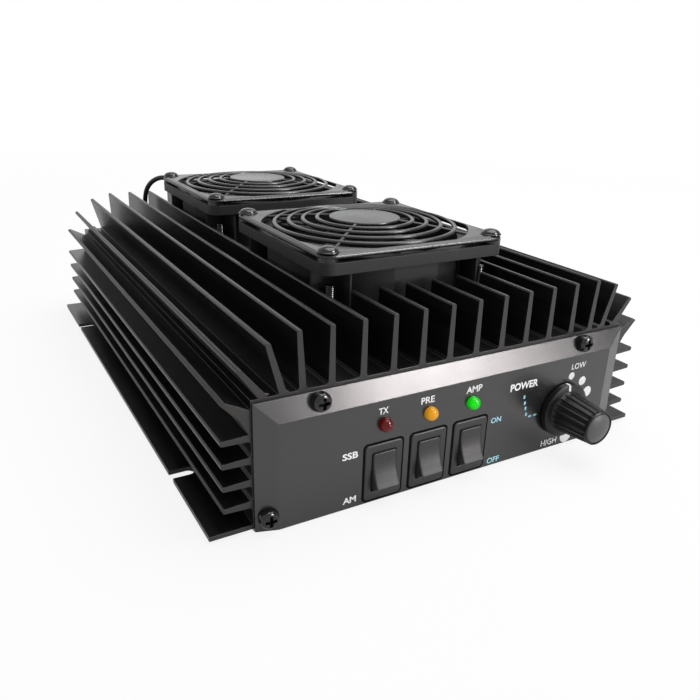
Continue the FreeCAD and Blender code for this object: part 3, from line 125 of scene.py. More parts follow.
def studio_world(ambient):
    """White to camera and glass rays, nearly white in mirrors except on the right, and a soft grey
    to all other rays."""
    world = bpy.data.worlds.new("studio")
    bpy.context.scene.world = world
    tree = empty_tree(world)
    path = step(tree, "LightPath")
    seen = step(tree, "Math", (path["Is Camera Ray"], path["Is Transmission Ray"]), operation="ADD")[0]
    to_right = step(tree, "SeparateXYZ", (step(tree, "TexCoord")["Object"],))["X"]
    shine = step(tree, "MapRange", {"Value": to_right, "From Min": 0.2, "From Max": 0.7, "To Min": 0.65,
                                    "To Max": 0.15})["Result"]
    plain = step(tree, "Math", (path["Is Glossy Ray"], shine, seen), operation="MULTIPLY_ADD",
                 use_clamp=True)[0]
    soft = step(tree, "Background", {"Color": (0.95, 0.97, 1, 1), "Strength": ambient})[0]
    white = step(tree, "Background", {"Color": (1, 1, 1, 1), "Strength": 1.0})[0]
    step(tree, "OutputWorld", {"Surface": step(tree, "MixShader", (plain, soft, white))[0]})


def lamp(name, place, aim, width, height, watts, colour=(1, 1, 1), mirrored_only=False):
    """A rectangular soft lamp at a place, turned so that its own -Z points at the aim.  One that is
    mirrored_only shows on glossy surfaces and doesn't light matt ones."""
    light = bpy.data.lights.new(name, "AREA")
    light.shape = "RECTANGLE"
    light.size, light.size_y = width, height
    light.energy = watts
    light.color = colour
    holder = bpy.data.objects.new(name, light)
    turn = (Vector(aim) - Vector(place)).to_track_quat("-Z", "Y")
    holder.matrix_world = Matrix.Translation(place) @ turn.to_matrix().to_4x4()
    holder.visible_diffuse = not mirrored_only
    bpy.context.scene.collection.objects.link(holder)


studio_world(0.4)
lamp("overhead", (0.3, 0.0, 0.95), (0, 0, 0), 0.9, 0.9, 9.0)
lamp("low_front_right", (0.665, -1.115, 0.125), (-0.01, -0.126, 0.042), 0.34, 0.2, 4.6, (1, 0.93, 0.93))
lamp("behind", (0.55, 1.05, 0.5), (0, 0, 0.05), 1.4, 0.5, 1.2)
lamp("spark", (0.62, -0.86, 0.76), (0, -0.1, 0.04), 0.36, 0.36, 16.0, mirrored_only=True)
print("4 lamps and a world")

# %% [markdown]
# ## Meshes from grids of points
# A finished surface is a grid: rows of points that go along the shape and columns that go round it.
# numpy works out a whole grid at once, and the faces are just each point with its neighbours.  Where
# a row shrinks to one point, as at the tip of a dome, merging the doubles closes the hole.

# %% Grids become meshes
def quads(rows, columns, closed):
    """Corner numbers of the faces between neighbours; closed joins the last column to the first."""
    spot = np.arange(rows * columns).reshape(rows, columns)
    here, after = (spot, np.roll(spot, -1, axis=1)) if closed else (spot[:, :-1], spot[:, 1:])
    return np.stack([here[:-1], after[:-1], after[1:], here[1:]], axis=-1).reshape(-1, 4)


def weld(name, rings=(), strips=(), crease=40):
    """One mesh, in metres, from sheets of points in millimetres shaped (rows, columns, 3).  The last
    column of a ring joins its first; a strip stays open."""
    sheets = [*rings, *strips]
    starts = np.cumsum([0] + [sheet.shape[0] * sheet.shape[1] for sheet in sheets[:-1]])
    faces = [quads(*sheet.shape[:2], number < len(rings)) + start
             for number, (sheet, start) in enumerate(zip(sheets, starts))]
    points = np.concatenate([sheet.reshape(-1, 3) for sheet in sheets]) * 0.001
    mesh = bpy.data.meshes.new(name)
    mesh.from_pydata(points.tolist(), [], np.concatenate(faces).tolist())
    shape = bmesh.new()
    shape.from_mesh(mesh)
    bmesh.ops.remove_doubles(shape, verts=shape.verts, dist=2e-6)
    bmesh.ops.recalc_face_normals(shape, faces=shape.faces)
    shape.to_mesh(mesh)
    shape.free()
    mesh.shade_smooth()
    mesh.set_sharp_from_angle(angle=radians(crease))
    return mesh


def piece(name, mesh, slot, body="chassis", stands_for=()):
    """A finished piece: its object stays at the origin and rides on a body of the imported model."""
    thing = bpy.data.objects.new(name, mesh)
    bpy.context.scene.collection.objects.link(thing)
    mesh.materials.append(finishes[slot])
    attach(thing, body)
    if stands_for:
        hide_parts(*stands_for)
    print(name, len(mesh.polygons), "faces")


# %% [markdown]
# Three ways to lay out points serve nearly every part: a profile turned on a lathe, a profile whose
# corners are first rounded as on any moulded part, and a stack of rounded rectangles for bezels,
# flanges and plates.  A circle is the rounded rectangle whose corners take up the whole side.

# %% Lathe, soft corners and stacked loops
AXES = {
    "z": np.eye(3),
    "x": np.array([[0, 0, 1], [1, 0, 0], [0, 1, 0]]),
    "y": np.array([[-1, 0, 0], [0, 0, 1], [0, 1, 0]]),
    "-y": np.array([[1, 0, 0], [0, 0, -1], [0, 1, 0]]),
}


def facing(points, axis, place=(0, 0, 0)):
    """Points whose own axis is +Z, turned to run along another axis and moved to a place."""
    return points @ AXES[axis].T + np.asarray(place, float)


def softened(corners, radii, steps=5):
    """An open profile with rounded corners: (1-t)^2 a + 2t(1-t) c + t^2 b round each corner c."""
    corners = np.asarray(corners, float)
    middle = corners[1:-1]
    radii = np.broadcast_to(radii, len(middle))[:, None]
    back, ahead = corners[:-2] - middle, corners[2:] - middle
    near = middle + back / np.linalg.norm(back, axis=1, keepdims=True) * radii
    far = middle + ahead / np.linalg.norm(ahead, axis=1, keepdims=True) * radii
    t = np.linspace(0, 1, steps)[:, None]
    arcs = (1 - t) ** 2 * near[:, None] + 2 * t * (1 - t) * middle[:, None] + t ** 2 * far[:, None]
    return np.concatenate([corners[:1], arcs.reshape(-1, 2), corners[-1:]])


def turned(profile, columns=64):
    """A profile of (radius, height) swept round +Z: x = r cos t, y = r sin t, z = height."""
    radius, height = np.asarray(profile, float).T[..., None]
    t = np.linspace(0, 2 * pi, columns, endpoint=False)
    return np.stack([radius * np.cos(t), radius * np.sin(t), height + 0 * t], axis=-1)


def stacked(rows, steps=8):
    """Rounded rectangles given as (width, depth, corner, height): each corner is a quarter circle."""
    width, depth, corner, height = np.asarray(rows, float).T[..., None]
    t = np.linspace(0, pi / 2, steps) + np.arange(4)[:, None] * pi / 2
    side_x = np.repeat([1, -1, -1, 1], steps)
    side_y = np.repeat([1, 1, -1, -1], steps)
    x = side_x * (width / 2 - corner) + corner * np.cos(t.ravel())
    y = side_y * (depth / 2 - corner) + corner * np.sin(t.ravel())
    return np.stack([x, y, height + 0 * x], axis=-1)


def capped(sheet):
    """The sheet with its first and last rows drawn to their middle points, so that it closes."""
    ends = [np.broadcast_to(sheet[row].mean(axis=0), sheet[row].shape)[None] for row in (0, -1)]
    return np.concatenate([ends[0], sheet, ends[1]])


print("a turned ring of", turned([(1, 0), (1, 1)]).shape, "points")

# %% [markdown]
# ## Finishes
# Two effects come back in nearly every finish here, so each is a node group.  *grain* gives the fine
# speckle, the cloudy gloss and the tiny bumps of paint, moulding or drawn metal.  *soft edges*
# rounds the look of sharp edges and tells where they are, so that a painted highlight can pale them.

# %% Node groups
def node_group(name, inputs, outputs):
    """An empty group with named sockets; gives back its tree, its inputs and its outputs."""
    tree = bpy.data.node_groups.new(name, "ShaderNodeTree")
    for label, kind in inputs:
        tree.interface.new_socket(label, in_out="INPUT", socket_type="NodeSocket" + kind)
    for label, kind in outputs:
        tree.interface.new_socket(label, in_out="OUTPUT", socket_type="NodeSocket" + kind)
    return tree, tree.nodes.new("NodeGroupInput").outputs, tree.nodes.new("NodeGroupOutput").inputs


def make_grain():
    """Fine noise mixes two colours and lifts the surface; broad noise makes the gloss uneven."""
    tree, given, out = node_group(
        "grain",
        [("Dark", "Color"), ("Light", "Color"), ("Scale", "Float"), ("Stretch", "Vector"),
         ("Rough", "Float"), ("Spread", "Float")],
        [("Colour", "Color"), ("Roughness", "Float"), ("Height", "Float")])
    place = step(tree, "TexCoord")["Object"]
    drawn = step(tree, "VectorMath", (place, given["Stretch"]), operation="MULTIPLY")["Vector"]
    fine = step(tree, "TexNoise", {"Vector": drawn, "Scale": given["Scale"], "Detail": 3.0})[0]
    broad = step(tree, "TexNoise", {"Vector": drawn, "Scale": 45.0, "Detail": 2.0})[0]
    speckle = step(tree, "MapRange", {"Value": fine, "From Min": 0.34, "From Max": 0.66})["Result"]
    colour = step(tree, "Mix", {0: speckle, 6: given["Dark"], 7: given["Light"]}, data_type="RGBA")[2]
    swing = step(tree, "MapRange", {"Value": broad, "From Min": 0.3, "From Max": 0.7,
                                    "To Min": -1.0, "To Max": 1.0})["Result"]
    rough = step(tree, "Math", (swing, given["Spread"], given["Rough"]), operation="MULTIPLY_ADD")[0]
    for source, label in ((colour, "Colour"), (rough, "Roughness"), (fine, "Height")):
        tree.links.new(source, out[label])
    return tree


def make_soft_edges():
    """The normal of a rounded edge, and a painted highlight that pales the colour where that normal
    turns away.
    """
    tree, given, out = node_group(
        "soft edges",
        [("Colour", "Color"), ("Rubbed", "Color"), ("Amount", "Float"), ("Width", "Float")],
        [("Colour", "Color"), ("Normal", "Vector")])
    rounded = step(tree, "Bevel", {"Radius": given["Width"]}, samples=4)["Normal"]
    flat = step(tree, "NewGeometry")["Normal"]
    same = step(tree, "VectorMath", (rounded, flat), operation="DOT_PRODUCT")["Value"]
    edge = step(tree, "MapRange", {"Value": same, "From Min": 0.995, "From Max": 0.8,
                                   "To Min": 0.0, "To Max": 1.0})["Result"]
    # Where the rounded normal turns away, the colour is painted paler: a painted highlight along the
    # edge.
    share = step(tree, "Math", (edge, given["Amount"]), operation="MULTIPLY")[0]
    colour = step(tree, "Mix", {0: share, 6: given["Colour"], 7: given["Rubbed"]}, data_type="RGBA")[2]
    tree.links.new(colour, out["Colour"])
    tree.links.new(rounded, out["Normal"])
    return tree


grain_group, edge_group = make_grain(), make_soft_edges()
print("groups:", grain_group.name, "and", edge_group.name)

# %% [markdown]
# A finish is one Principled surface.  What varies over it comes from the groups; a number that is
# the same all over, such as how metallic it is, is set straight on the surface's own socket.

# %% One finish
finishes = {}


def grey(value):
    """A neutral black or grey with a trace of blue."""
    return (value, value, value * 1.03)


def finish(name, dark, light, scale, rough, spread=0.05, stretch=(1, 1, 1), bump=0.1,
           width=0.0, edge_highlight=None, amount=0.0, sawn_and_sheen=None, **surface):
    """Adds a grained finish under its name.  Width softens its edges; the paler edge colour and its
    amount, when given, paint a highlight along them.  The colour of its ends, the faces that look along
    Y, is partly the cut metal's own and partly a painted sheen."""
    finishes[name] = bpy.data.materials.new(name)
    tree = empty_tree(finishes[name])
    skin = step(tree, "Group", node_tree=grain_group)
    node = skin[0].node
    for label, value in (("Dark", (*dark, 1)), ("Light", (*light, 1)), ("Scale", scale),
                         ("Stretch", stretch), ("Rough", rough), ("Spread", spread)):
        node.inputs[label].default_value = value
    colour, normal = skin["Colour"], None
    if width:
        edges = step(tree, "Group", node_tree=edge_group)
        node = edges[0].node
        tree.links.new(colour, node.inputs["Colour"])
        # The paler edge colour, mixed in by Amount, is a painted highlight along the edges.
        node.inputs["Rubbed"].default_value = (*(edge_highlight or light), 1)
        node.inputs["Amount"].default_value = amount
        node.inputs["Width"].default_value = width
        colour, normal = edges["Colour"], edges["Normal"]
    # The colour of the ends, the faces that look along Y, is partly the cut metal's own and partly a
    # painted sheen.
    if sawn_and_sheen:
        along = step(tree, "SeparateXYZ", (step(tree, "TexCoord")["Normal"],))["Y"]
        end = step(tree, "Math", (along,), operation="ABSOLUTE")[0]
        cut = step(tree, "MapRange", {"Value": end, "From Min": 0.8, "From Max": 0.95})["Result"]
        colour = step(tree, "Mix", {0: cut, 6: colour, 7: (*sawn_and_sheen, 1)}, data_type="RGBA")[2]
    lift = step(tree, "Bump", {"Height": skin["Height"], "Strength": bump, "Distance": 0.0003,
                               "Normal": normal})["Normal"]
    shader = step(tree, "BsdfPrincipled", {"Base Color": colour, "Roughness": skin["Roughness"],
                                           "Normal": lift})
    for label, value in surface.items():
        shader[0].node.inputs[label.replace("_", " ")].default_value = value
    step(tree, "OutputMaterial", {"Surface": shader["BSDF"]})


print("ready to mix finishes")

# %% [markdown]
# The casing is black anodised aluminium.  It was drawn through a die, so its grain runs along the
# fins; its sharp edges carry a painted highlight of soft grey, and its cut ends are a little paler,
# partly as bare cut metal and partly as a painted sheen.  The two end panels carry a smooth satin
# paint in which the knob is dimly mirrored, and a faint painted highlight on their edges, as the fans
# do.  The fans, the switches and the knob are moulded in black plastic.

# %% Black finishes
# The pale edge colours given here are painted highlights along the edges.
finish(
    "anodised", grey(0.003), grey(0.009), 700, 0.32, 0.06, (1, 0.04, 1), 0.05,
    0.0003, grey(0.3), 0.7, sawn_and_sheen=(0.036, 0.034, 0.032), Specular_IOR_Level=0.35)
finish(
    "panel_paint", grey(0.008), grey(0.018), 3200, 0.23, 0.02, bump=0.08,
    width=0.00035, edge_highlight=grey(0.06), amount=0.25, Specular_IOR_Level=0.85)
finish("black_screw", grey(0.004), grey(0.01), 1200, 0.12, 0.04, bump=0.03)
finish(
    "black_plastic", grey(0.004), grey(0.01), 2200, 0.34, 0.05, bump=0.05, Specular_IOR_Level=0.3)
finish(
    "switch_plastic", grey(0.026), grey(0.038), 2400, 0.42, 0.04, bump=0.06, Specular_IOR_Level=0.4)
finish(
    "fan_plastic", grey(0.012), grey(0.022), 1700, 0.5, 0.05, bump=0.12, width=0.0003,
    edge_highlight=grey(0.06), amount=0.5, Specular_IOR_Level=0.35)
finish("guard_plastic", grey(0.007), grey(0.016), 2000, 0.24, 0.06, bump=0.08)
finish("cap_plastic", grey(0.07), grey(0.1), 2600, 0.4, 0.04, bump=0.05, Specular_IOR_Level=0.35)
finish("rubber", grey(0.001), grey(0.003), 900, 0.7, 0.06, bump=0.1, Specular_IOR_Level=0.05)
finish("wire", grey(0.008), grey(0.014), 600, 0.4, 0.05, bump=0.05)
print(len(finishes), "black finishes")

# %% [markdown]
# Bare metals are fully metallic with a fine brushed grain.  Printing inks and the white resin are
# plain but never quite even.  The board is green lacquer over copper tracks, ferrite is a dull dark
# ceramic, and the cans have a printed sleeve.

# %% Metals, resins and inks
finish("steel", (0.5, 0.51, 0.53), (0.72, 0.73, 0.75), 900, 0.24, 0.08, bump=0.08, Metallic=1)
finish("nickel", (0.5, 0.47, 0.42), (0.68, 0.65, 0.6), 700, 0.2, 0.06, bump=0.05, Metallic=1)
finish("brass", (0.62, 0.42, 0.16), (0.8, 0.6, 0.28), 800, 0.26, 0.06, Metallic=1)
finish("copper", (0.5, 0.2, 0.09), (0.72, 0.34, 0.18), 500, 0.3, 0.06, Metallic=1)
finish("plate", (0.46, 0.46, 0.47), (0.6, 0.6, 0.61), 600, 0.4, 0.08, (1, 0.05, 1), 0.08, Metallic=1)
finish("tin", (0.48, 0.48, 0.46), (0.68, 0.68, 0.66), 700, 0.36, 0.08, Metallic=1)
finish("can", (0.02, 0.03, 0.06), (0.04, 0.05, 0.1), 300, 0.35, bump=0.04, width=0.0004)
finish("white_resin", (0.7, 0.69, 0.65), (0.82, 0.81, 0.78), 900, 0.42, bump=0.08)
finish("ceramic", (0.6, 0.57, 0.52), (0.76, 0.73, 0.68), 1100, 0.5, bump=0.1, width=0.0002)
finish("ferrite", grey(0.03), grey(0.06), 1300, 0.6, bump=0.25)
finish("relay_case", (0.05, 0.14, 0.42), (0.08, 0.2, 0.5), 1500, 0.35, bump=0.05, width=0.0003)
finish("fuse_case", (0.45, 0.12, 0.02), (0.6, 0.18, 0.04), 700, 0.35, width=0.0003)
finish("board", (0.008, 0.07, 0.03), (0.015, 0.13, 0.05), 160, 0.34, 0.08, bump=0.1)
finish("white_ink", (0.93, 0.93, 0.93), (1.0, 1.0, 1.0), 2600, 0.4, bump=0.1)
finish("blue_ink", (0.3, 0.66, 0.78), (0.45, 0.8, 0.9), 2600, 0.5, bump=0.1)
print(len(finishes), "finishes so far")

# %% [markdown]
# The indicator lamps are tinted epoxy.  Each lens has one colour in the middle and another at its
# edge, which Layer Weight tells apart: the colour at the edge is painted shade on the amber and
# green lenses and a paler painted sheen on the red one.  The green one is lit, so it shines from
# within; the others glow only faintly.

# %% Lens finishes
def lens_finish(name, deep, rim_shading, glow, strength):
    """Tinted epoxy: deep colour face on, a colour at a slant that paints the light and shade of the
    lens's edge, and a glow that fades outwards towards it.
    """
    finishes[name] = bpy.data.materials.new(name)
    tree = empty_tree(finishes[name])
    slant = step(tree, "LayerWeight", {"Blend": 0.35})["Facing"]
    place = step(tree, "TexCoord")["Object"]
    cloud = step(tree, "TexNoise", {"Vector": place, "Scale": 900.0, "Detail": 1.0})[0]
    cloudy = step(tree, "Math", (cloud, 0.7), operation="ADD")[0]
    share = step(tree, "Math", (slant, cloudy), operation="MULTIPLY", use_clamp=True)[0]
    deep, rim_shading, glow = ((*tint, 1) for tint in (deep, rim_shading, glow))
    colour = step(tree, "Mix", {0: share, 6: deep, 7: rim_shading}, data_type="RGBA")[2]
    light = step(tree, "Mix", {0: share, 6: glow, 7: rim_shading}, data_type="RGBA")[2]
    shader = step(tree, "BsdfPrincipled", {
        "Base Color": colour, "Roughness": 0.3, "Specular IOR Level": 0.05, "Coat Weight": 1.0,
        "Coat IOR": 1.35, "Coat Roughness": 0.06, "Emission Color": light,
        "Emission Strength": strength})
    step(tree, "OutputMaterial", {"Surface": shader["BSDF"]})


# The second colour is painted at each lens's edge: painted shade on amber and green, a paler painted
# sheen on red.
lens_finish("red_lens", (0.06, 0, 0), (0.09, 0.002, 0.002), (0.12, 0, 0), 0.4)
lens_finish("amber_lens", (0.75, 0.32, 0.002), (0.4, 0.2, 0.02), (0.7, 0.3, 0), 0.3)
lens_finish("green_lens", (0, 0.5, 0), (0, 0.12, 0), (0, 0.7, 0), 0.6)
print(len(finishes), "finishes in all")

# %% [markdown]
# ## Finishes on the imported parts
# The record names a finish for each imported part, so one loop dresses them all.

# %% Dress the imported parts
for row in frame["record"]["subparts"]:
    for socket in nodes[row["node"]].material_slots:
        socket.material = finishes[row["material_slot"]]

# %% [markdown]
# ## Words and marks on the front panel
# The panel is screen printed: white words and dots that grow with the power, and pale blue for ON,
# OFF and the dashed line to the knob.  Ink is a flat film, so each word is Blender's own lettering
# made into a flat mesh and laid a twentieth of a millimetre in front of the panel's face.

# %% Printed words
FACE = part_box("front_panel")[0].y * 1000
INK = FACE - 0.05


def plain_mesh(drawn):
    """The mesh of an object drawn by a curve or by letters; the object itself is thrown away."""
    bpy.context.scene.collection.objects.link(drawn)
    mesh = bpy.data.meshes.new_from_object(drawn.evaluated_get(bpy.context.evaluated_depsgraph_get()))
    bpy.data.objects.remove(drawn)
    mesh.materials.clear()
    return mesh


def printed(word, x, z, width, height, bold, ink):
    """A word, made bolder, centred at (x, z) on the panel's face and stretched to width and height."""
    curve = bpy.data.curves.new(word, "FONT")
    curve.body = word
    curve.offset = bold
    curve.resolution_u = 4
    mesh = plain_mesh(bpy.data.objects.new(word, curve))
    points = np.empty(len(mesh.vertices) * 3, np.float32)
    mesh.vertices.foreach_get("co", points)
    points = points.reshape(-1, 3)[:, :2]
    low, high = points.min(0), points.max(0)
    across, up = ((points - (low + high) / 2) / (high - low) * (width, height)).T
    flat = np.stack([x + across, INK + 0 * across, z + up], axis=-1)
    mesh.vertices.foreach_set("co", (flat * 0.001).ravel())
    piece("word_" + word.lower(), mesh, ink)


WORDS = {
    "white_ink": [
        ("TX", -33.75, 34.3, 3.7, 2.35, 0.02), ("PRE", -16.15, 34.4, 5.5, 2.45, 0.02),
        ("AMP", 3.75, 34.4, 7.0, 2.5, 0.02), ("SSB", -45.8, 20.65, 5.85, 2.5, 0.03),
        ("AM", -45.6, 3.8, 5.0, 2.4, 0.03), ("POWER", 27.6, 30.9, 13.5, 3.05, 0.035),
        ("LOW", 54.9, 33.7, 7.4, 2.4, 0.01), ("HIGH", 44.6, 3.0, 8.2, 2.65, 0.01),
    ],
    "blue_ink": [("ON", 15.55, 19.5, 4.9, 2.2, 0.03), ("OFF", 16.3, 2.6, 5.9, 2.35, 0.03)],
}
for ink, words in WORDS.items():
    for row in words:
        printed(*row, ink)

# %% [markdown]
# The dots are flat discs on a circle round the knob and grow towards full power.  The dashed line
# that leads to the knob is six small rounded bars, and each is a flat stack of just two loops: a
# point in the middle and the bar's rounded outline.

# %% Printed dots and the dashed line
DOT_CIRCLE, DOT_X, DOT_Z = 13.7, 48.9, 16.5
angles = np.radians([78, 47.7, 20.4, -12, -41, -70])
dots = [
    facing(turned([(0, 0), (radius, 0)], 40), "-y",
           (DOT_X + DOT_CIRCLE * cos(angle), INK, DOT_Z + DOT_CIRCLE * sin(angle)))
    for angle, radius in zip(angles, (1.5, 1.85, 2.25, 2.5, 2.7, 2.95))
]
piece("power_dots", weld("power_dots", dots), "white_ink")
LINE = [(28.3, 25.9, 0.85, 1.55), (28.95, 23.3, 0.85, 1.55), (29.6, 20.95, 0.85, 1.55),
        (30.3, 18.35, 0.85, 1.55), (32.35, 17.1, 1.65, 0.85), (34.9, 17.1, 1.65, 0.85)]
dashes = [facing(stacked([(0, 0, 0, 0), (wide, high, 0.4, 0)], 5), "-y", (x, INK, z))
          for x, z, wide, high in LINE]
piece("power_line", weld("power_line", dashes), "blue_ink")

# %% [markdown]
# ## Screws
# A pan head screw is a turned profile with a cross pressed into its top.  The cross is two bars of
# depth that fade smoothly at their edges, taken away from the height of the head.

# %% Pan head screws
def band(value, reach, blur):
    """1 inside a reach, 0 outside it, and a smooth slope of a given width between them."""
    t = np.clip((reach - np.abs(value)) / blur + 0.5, 0, 1)
    return t * t * (3 - 2 * t)


def pan_screw(radius, height, shank, length, rows=26):
    """A screw on its seat at z = 0: the head rises, the shank goes down, and the cross is sunk into
    the rows of its top, which falls by 0.22 of its height times (r / radius)^3."""
    top = [(radius * share, height * (1 - 0.22 * share ** 3)) for share in np.linspace(0, 0.72, rows)]
    side = softened([top[-1], (radius * 0.97, height * 0.66), (radius, 0), (shank, 0), (shank, -length),
                     (0, -length)], (radius * 0.2, 0.15, 0.05, 0.2))
    sheet = turned(np.concatenate([top, side]), 96)
    x, y = sheet[:rows, :, 0], sheet[:rows, :, 1]
    wide, long = radius * 0.14, radius * 0.55
    upright = band(x, wide, 0.25) * band(y, long, 0.3)
    level = band(y, wide, 0.25) * band(x, long, 0.3)
    sheet[:rows, :, 2] -= height * 0.5 * np.maximum(upright, level)
    return sheet


def screws(name, places, axis, radius, height, length, slot="black_screw"):
    """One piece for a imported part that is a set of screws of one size."""
    single = pan_screw(radius, height, 1.4, length)
    piece(name, weld(name, [facing(single, axis, place) for place in places]), slot,
          stands_for=[name[:-4]])


SCREW_SEAT = 126.1
ends = [(-56.5, 42.4), (56.5, 42.4), (-74.5, 5.6), (74.5, 5.6)]
screws("front_panel_screws_pan", [(x, -SCREW_SEAT, z) for x, z in ends], "-y", 3.3, 3.2, 11.1)
screws("rear_panel_screws_pan", [(x, SCREW_SEAT, z) for x, z in ends], "y", 3.3, 3.2, 11.1)
SOCKET_X, SOCKET_Z, SOCKET_SCREW, SOCKET_FACE = 46.0, 22.6, 9.1, 130.3
holes = [(side * SOCKET_X + x * SOCKET_SCREW, SOCKET_FACE, SOCKET_Z + z * SOCKET_SCREW)
         for side in (-1, 1) for x in (-1, 1) for z in (-1, 1)]
screws("socket_screws_pan", holes, "y", 2.7, 1.9, 7.0, "steel")

# %% [markdown]
# ## Indicator lamps
# Three round 5 mm lamps: a short cylinder with a dome, turned on the lathe.

# %% Indicator lamps
COLUMNS = {"mode": -32.9, "preamp": -14.7, "power": 3.5}
LENS_RADIUS, DOME_FOOT, LAMP_Y, LAMP_Z = 2.5, 3.9, -124.0, 29.2
dome = np.linspace(0, pi / 2, 14)
lamp_profile = [(0, -2), (2.95, -2), (2.95, -1), (LENS_RADIUS, -1), (LENS_RADIUS, DOME_FOOT)]
lamp_profile += list(LENS_RADIUS * np.stack([np.cos(dome), np.sin(dome)], axis=-1) + (0, DOME_FOOT))
colours = {"transmit": "red", "preamp": "amber", "amplifier": "green"}
for (label, colour), x in zip(colours.items(), COLUMNS.values()):
    mesh = weld(label + "_lens", [facing(turned(lamp_profile, 48), "-y", (x, LAMP_Y, LAMP_Z))])
    piece(label + "_lens", mesh, colour + "_lens", stands_for=[label + "_led"])

# %% [markdown]
# ## Rocker switches
# A bezel is a stack of rounded rectangles: from the floor of its opening up the walls, over a soft
# lip, across the face, round the outer edge, back to the panel and down the housing behind it.  A
# thin seal in the near-black rubber finish lies under it and stands out all round; its darkness is
# painted shade, the black line of the shaded gap round a switch.

# %% Switch bezels, seals and housings
SWITCH_MIDDLE = 12.1
BEZEL = [
    (0, 0, 0, -6.8), (9.3, 14.7, 0.3, -6.8), (9.3, 14.7, 0.3, 0.15), (9.42, 14.82, 0.4, 0.36),
    (9.75, 15.15, 0.6, 0.47), (10.2, 15.6, 0.8, 0.5), (13.7, 19.8, 0.9, 0.5),
    (14.1, 20.25, 1.05, 0.47), (14.4, 20.6, 1.2, 0.36), (14.55, 20.8, 1.25, 0.18),
    (14.6, 20.85, 1.25, 0.06), (13, 19.2, 0.6, 0.06), (13, 19.2, 0.6, -15.6), (12.4, 18.6, 0.6, -16),
    (0, 0, 0, -16),
]
# The seal's loops: a low dark band round the bezel, painted shade for the shaded gap round the switch.
SHADED_GAP = [
    (14.0, 20.2, 1.0, 0.02), (15.8, 22.0, 1.6, 0.02), (16.0, 22.2, 1.75, 0.06),
    (15.95, 22.15, 1.7, 0.13), (15.8, 22.0, 1.6, 0.15), (14.0, 20.2, 1.0, 0.15),
    (14.0, 20.2, 1.0, 0.02),
]
for label, x in COLUMNS.items():
    for part, rows, slot in (("_bezel", BEZEL, "switch_plastic"), ("_seal", SHADED_GAP, "rubber")):
        mesh = weld(label + part, [facing(stacked(rows), "-y", (x, FACE, SWITCH_MIDDLE))], crease=50)
        piece(label + part, mesh, slot, stands_for=[label + "_switch_body"])

# %% [markdown]
# The rocker is a bar with a hollow top.  Its outline is swept across the switch, and near both ends
# it shrinks along a quarter circle, which rounds the rocker's side edges.  At rest it leans fifteen
# degrees about its pivot pins, with the top half pressed in.

# %% Rockers
PIVOT_Y, ROCKER_HALF = -125.5, 4.4


def rocker_outline():
    """The closed outline as (up, out): a hollow of out = valley + (crest - valley) (up / reach)^2,
    rounded noses at both ends, and a flat back."""
    up = np.linspace(-6.1, 6.1, 25)
    hollow = np.stack([up, 3.55 + 1.15 * (up / 6.1) ** 2], axis=-1)
    side = softened([(6.1, 4.7), (7.05, 2.2), (7.05, -1.2), (6.2, -3.0), (-6.2, -3.0), (-7.05, -1.2),
                     (-7.05, 2.2), (-6.1, 4.7)], (0.7, 0.9, 0.8, 0.8, 0.9, 0.7), 4)
    crest = softened([(5.7, 4.5), (6.2, 4.75), (6.7, 3.2)], 0.4, 5)[1:-1]
    other = crest[::-1] * (-1, 1)
    return np.concatenate([hollow[1:-1], crest, side[2:-2], other])


def rocker(x):
    """The outline carried across the switch, shrinking by a quarter circle at each end."""
    outline = rocker_outline()
    t = np.linspace(0, pi / 2, 7)
    inset = 0.6
    curl = inset * (1 - np.cos(t))
    across = np.concatenate([[-ROCKER_HALF], -ROCKER_HALF + curl, ROCKER_HALF - curl[::-1],
                             [ROCKER_HALF]])
    size = 1 - inset / 7 * (1 - np.sin(np.concatenate([[0], t, t[::-1], [0]])))
    size[[0, -1]] = 0
    up = outline[:, 0] * size[:, None]
    out = outline[:, 1] * size[:, None]
    lean = radians(-15)  # the top half leans into the panel
    y = -out * cos(lean) - up * sin(lean)
    z = -out * sin(lean) + up * cos(lean)
    bar = np.stack([x + across[:, None] + 0 * y, PIVOT_Y + y, SWITCH_MIDDLE + z], axis=-1)
    pin = turned([(0, -5.6), (1, -5.6), (1, 5.6), (0, 5.6)], len(outline))
    return weld("rocker", [bar, facing(pin, "x", (x, PIVOT_Y, SWITCH_MIDDLE))], crease=50)


for label, x in COLUMNS.items():
    piece(label + "_rocker_bar", rocker(x), "switch_plastic", label + "_switch", [label + "_rocker"])

# %% [markdown]
# ## Power knob
# A wide flat skirt carries a slim body that tapers, and twenty thin ribs stand along it with a
# shallow flute between each two.  The flutes are worked into the turned grid: the distance from the
# nearest rib sets how far a point is sunk, and the sinking fades out towards the skirt and the front.

# %% Fluted knob
RIBS = 20
knob_low, knob_high = (np.array(corner) * 1000 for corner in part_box("power_knob"))
KNOB_X, KNOB_Z = (knob_low + knob_high)[[0, 2]] / 2
grip_low, grip_high = (np.array(corner) * 1000 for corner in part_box("knob_set_screw"))
GRIP_HEIGHT = knob_high[1] - (grip_low[1] + grip_high[1]) / 2
GRIP_HOLE = (grip_high[0] - grip_low[0]) / 2 + 0.25
HOLE_FLOOR, BODY_EDGE, CAP_RADIUS = 5.8, 6.2, 5.72


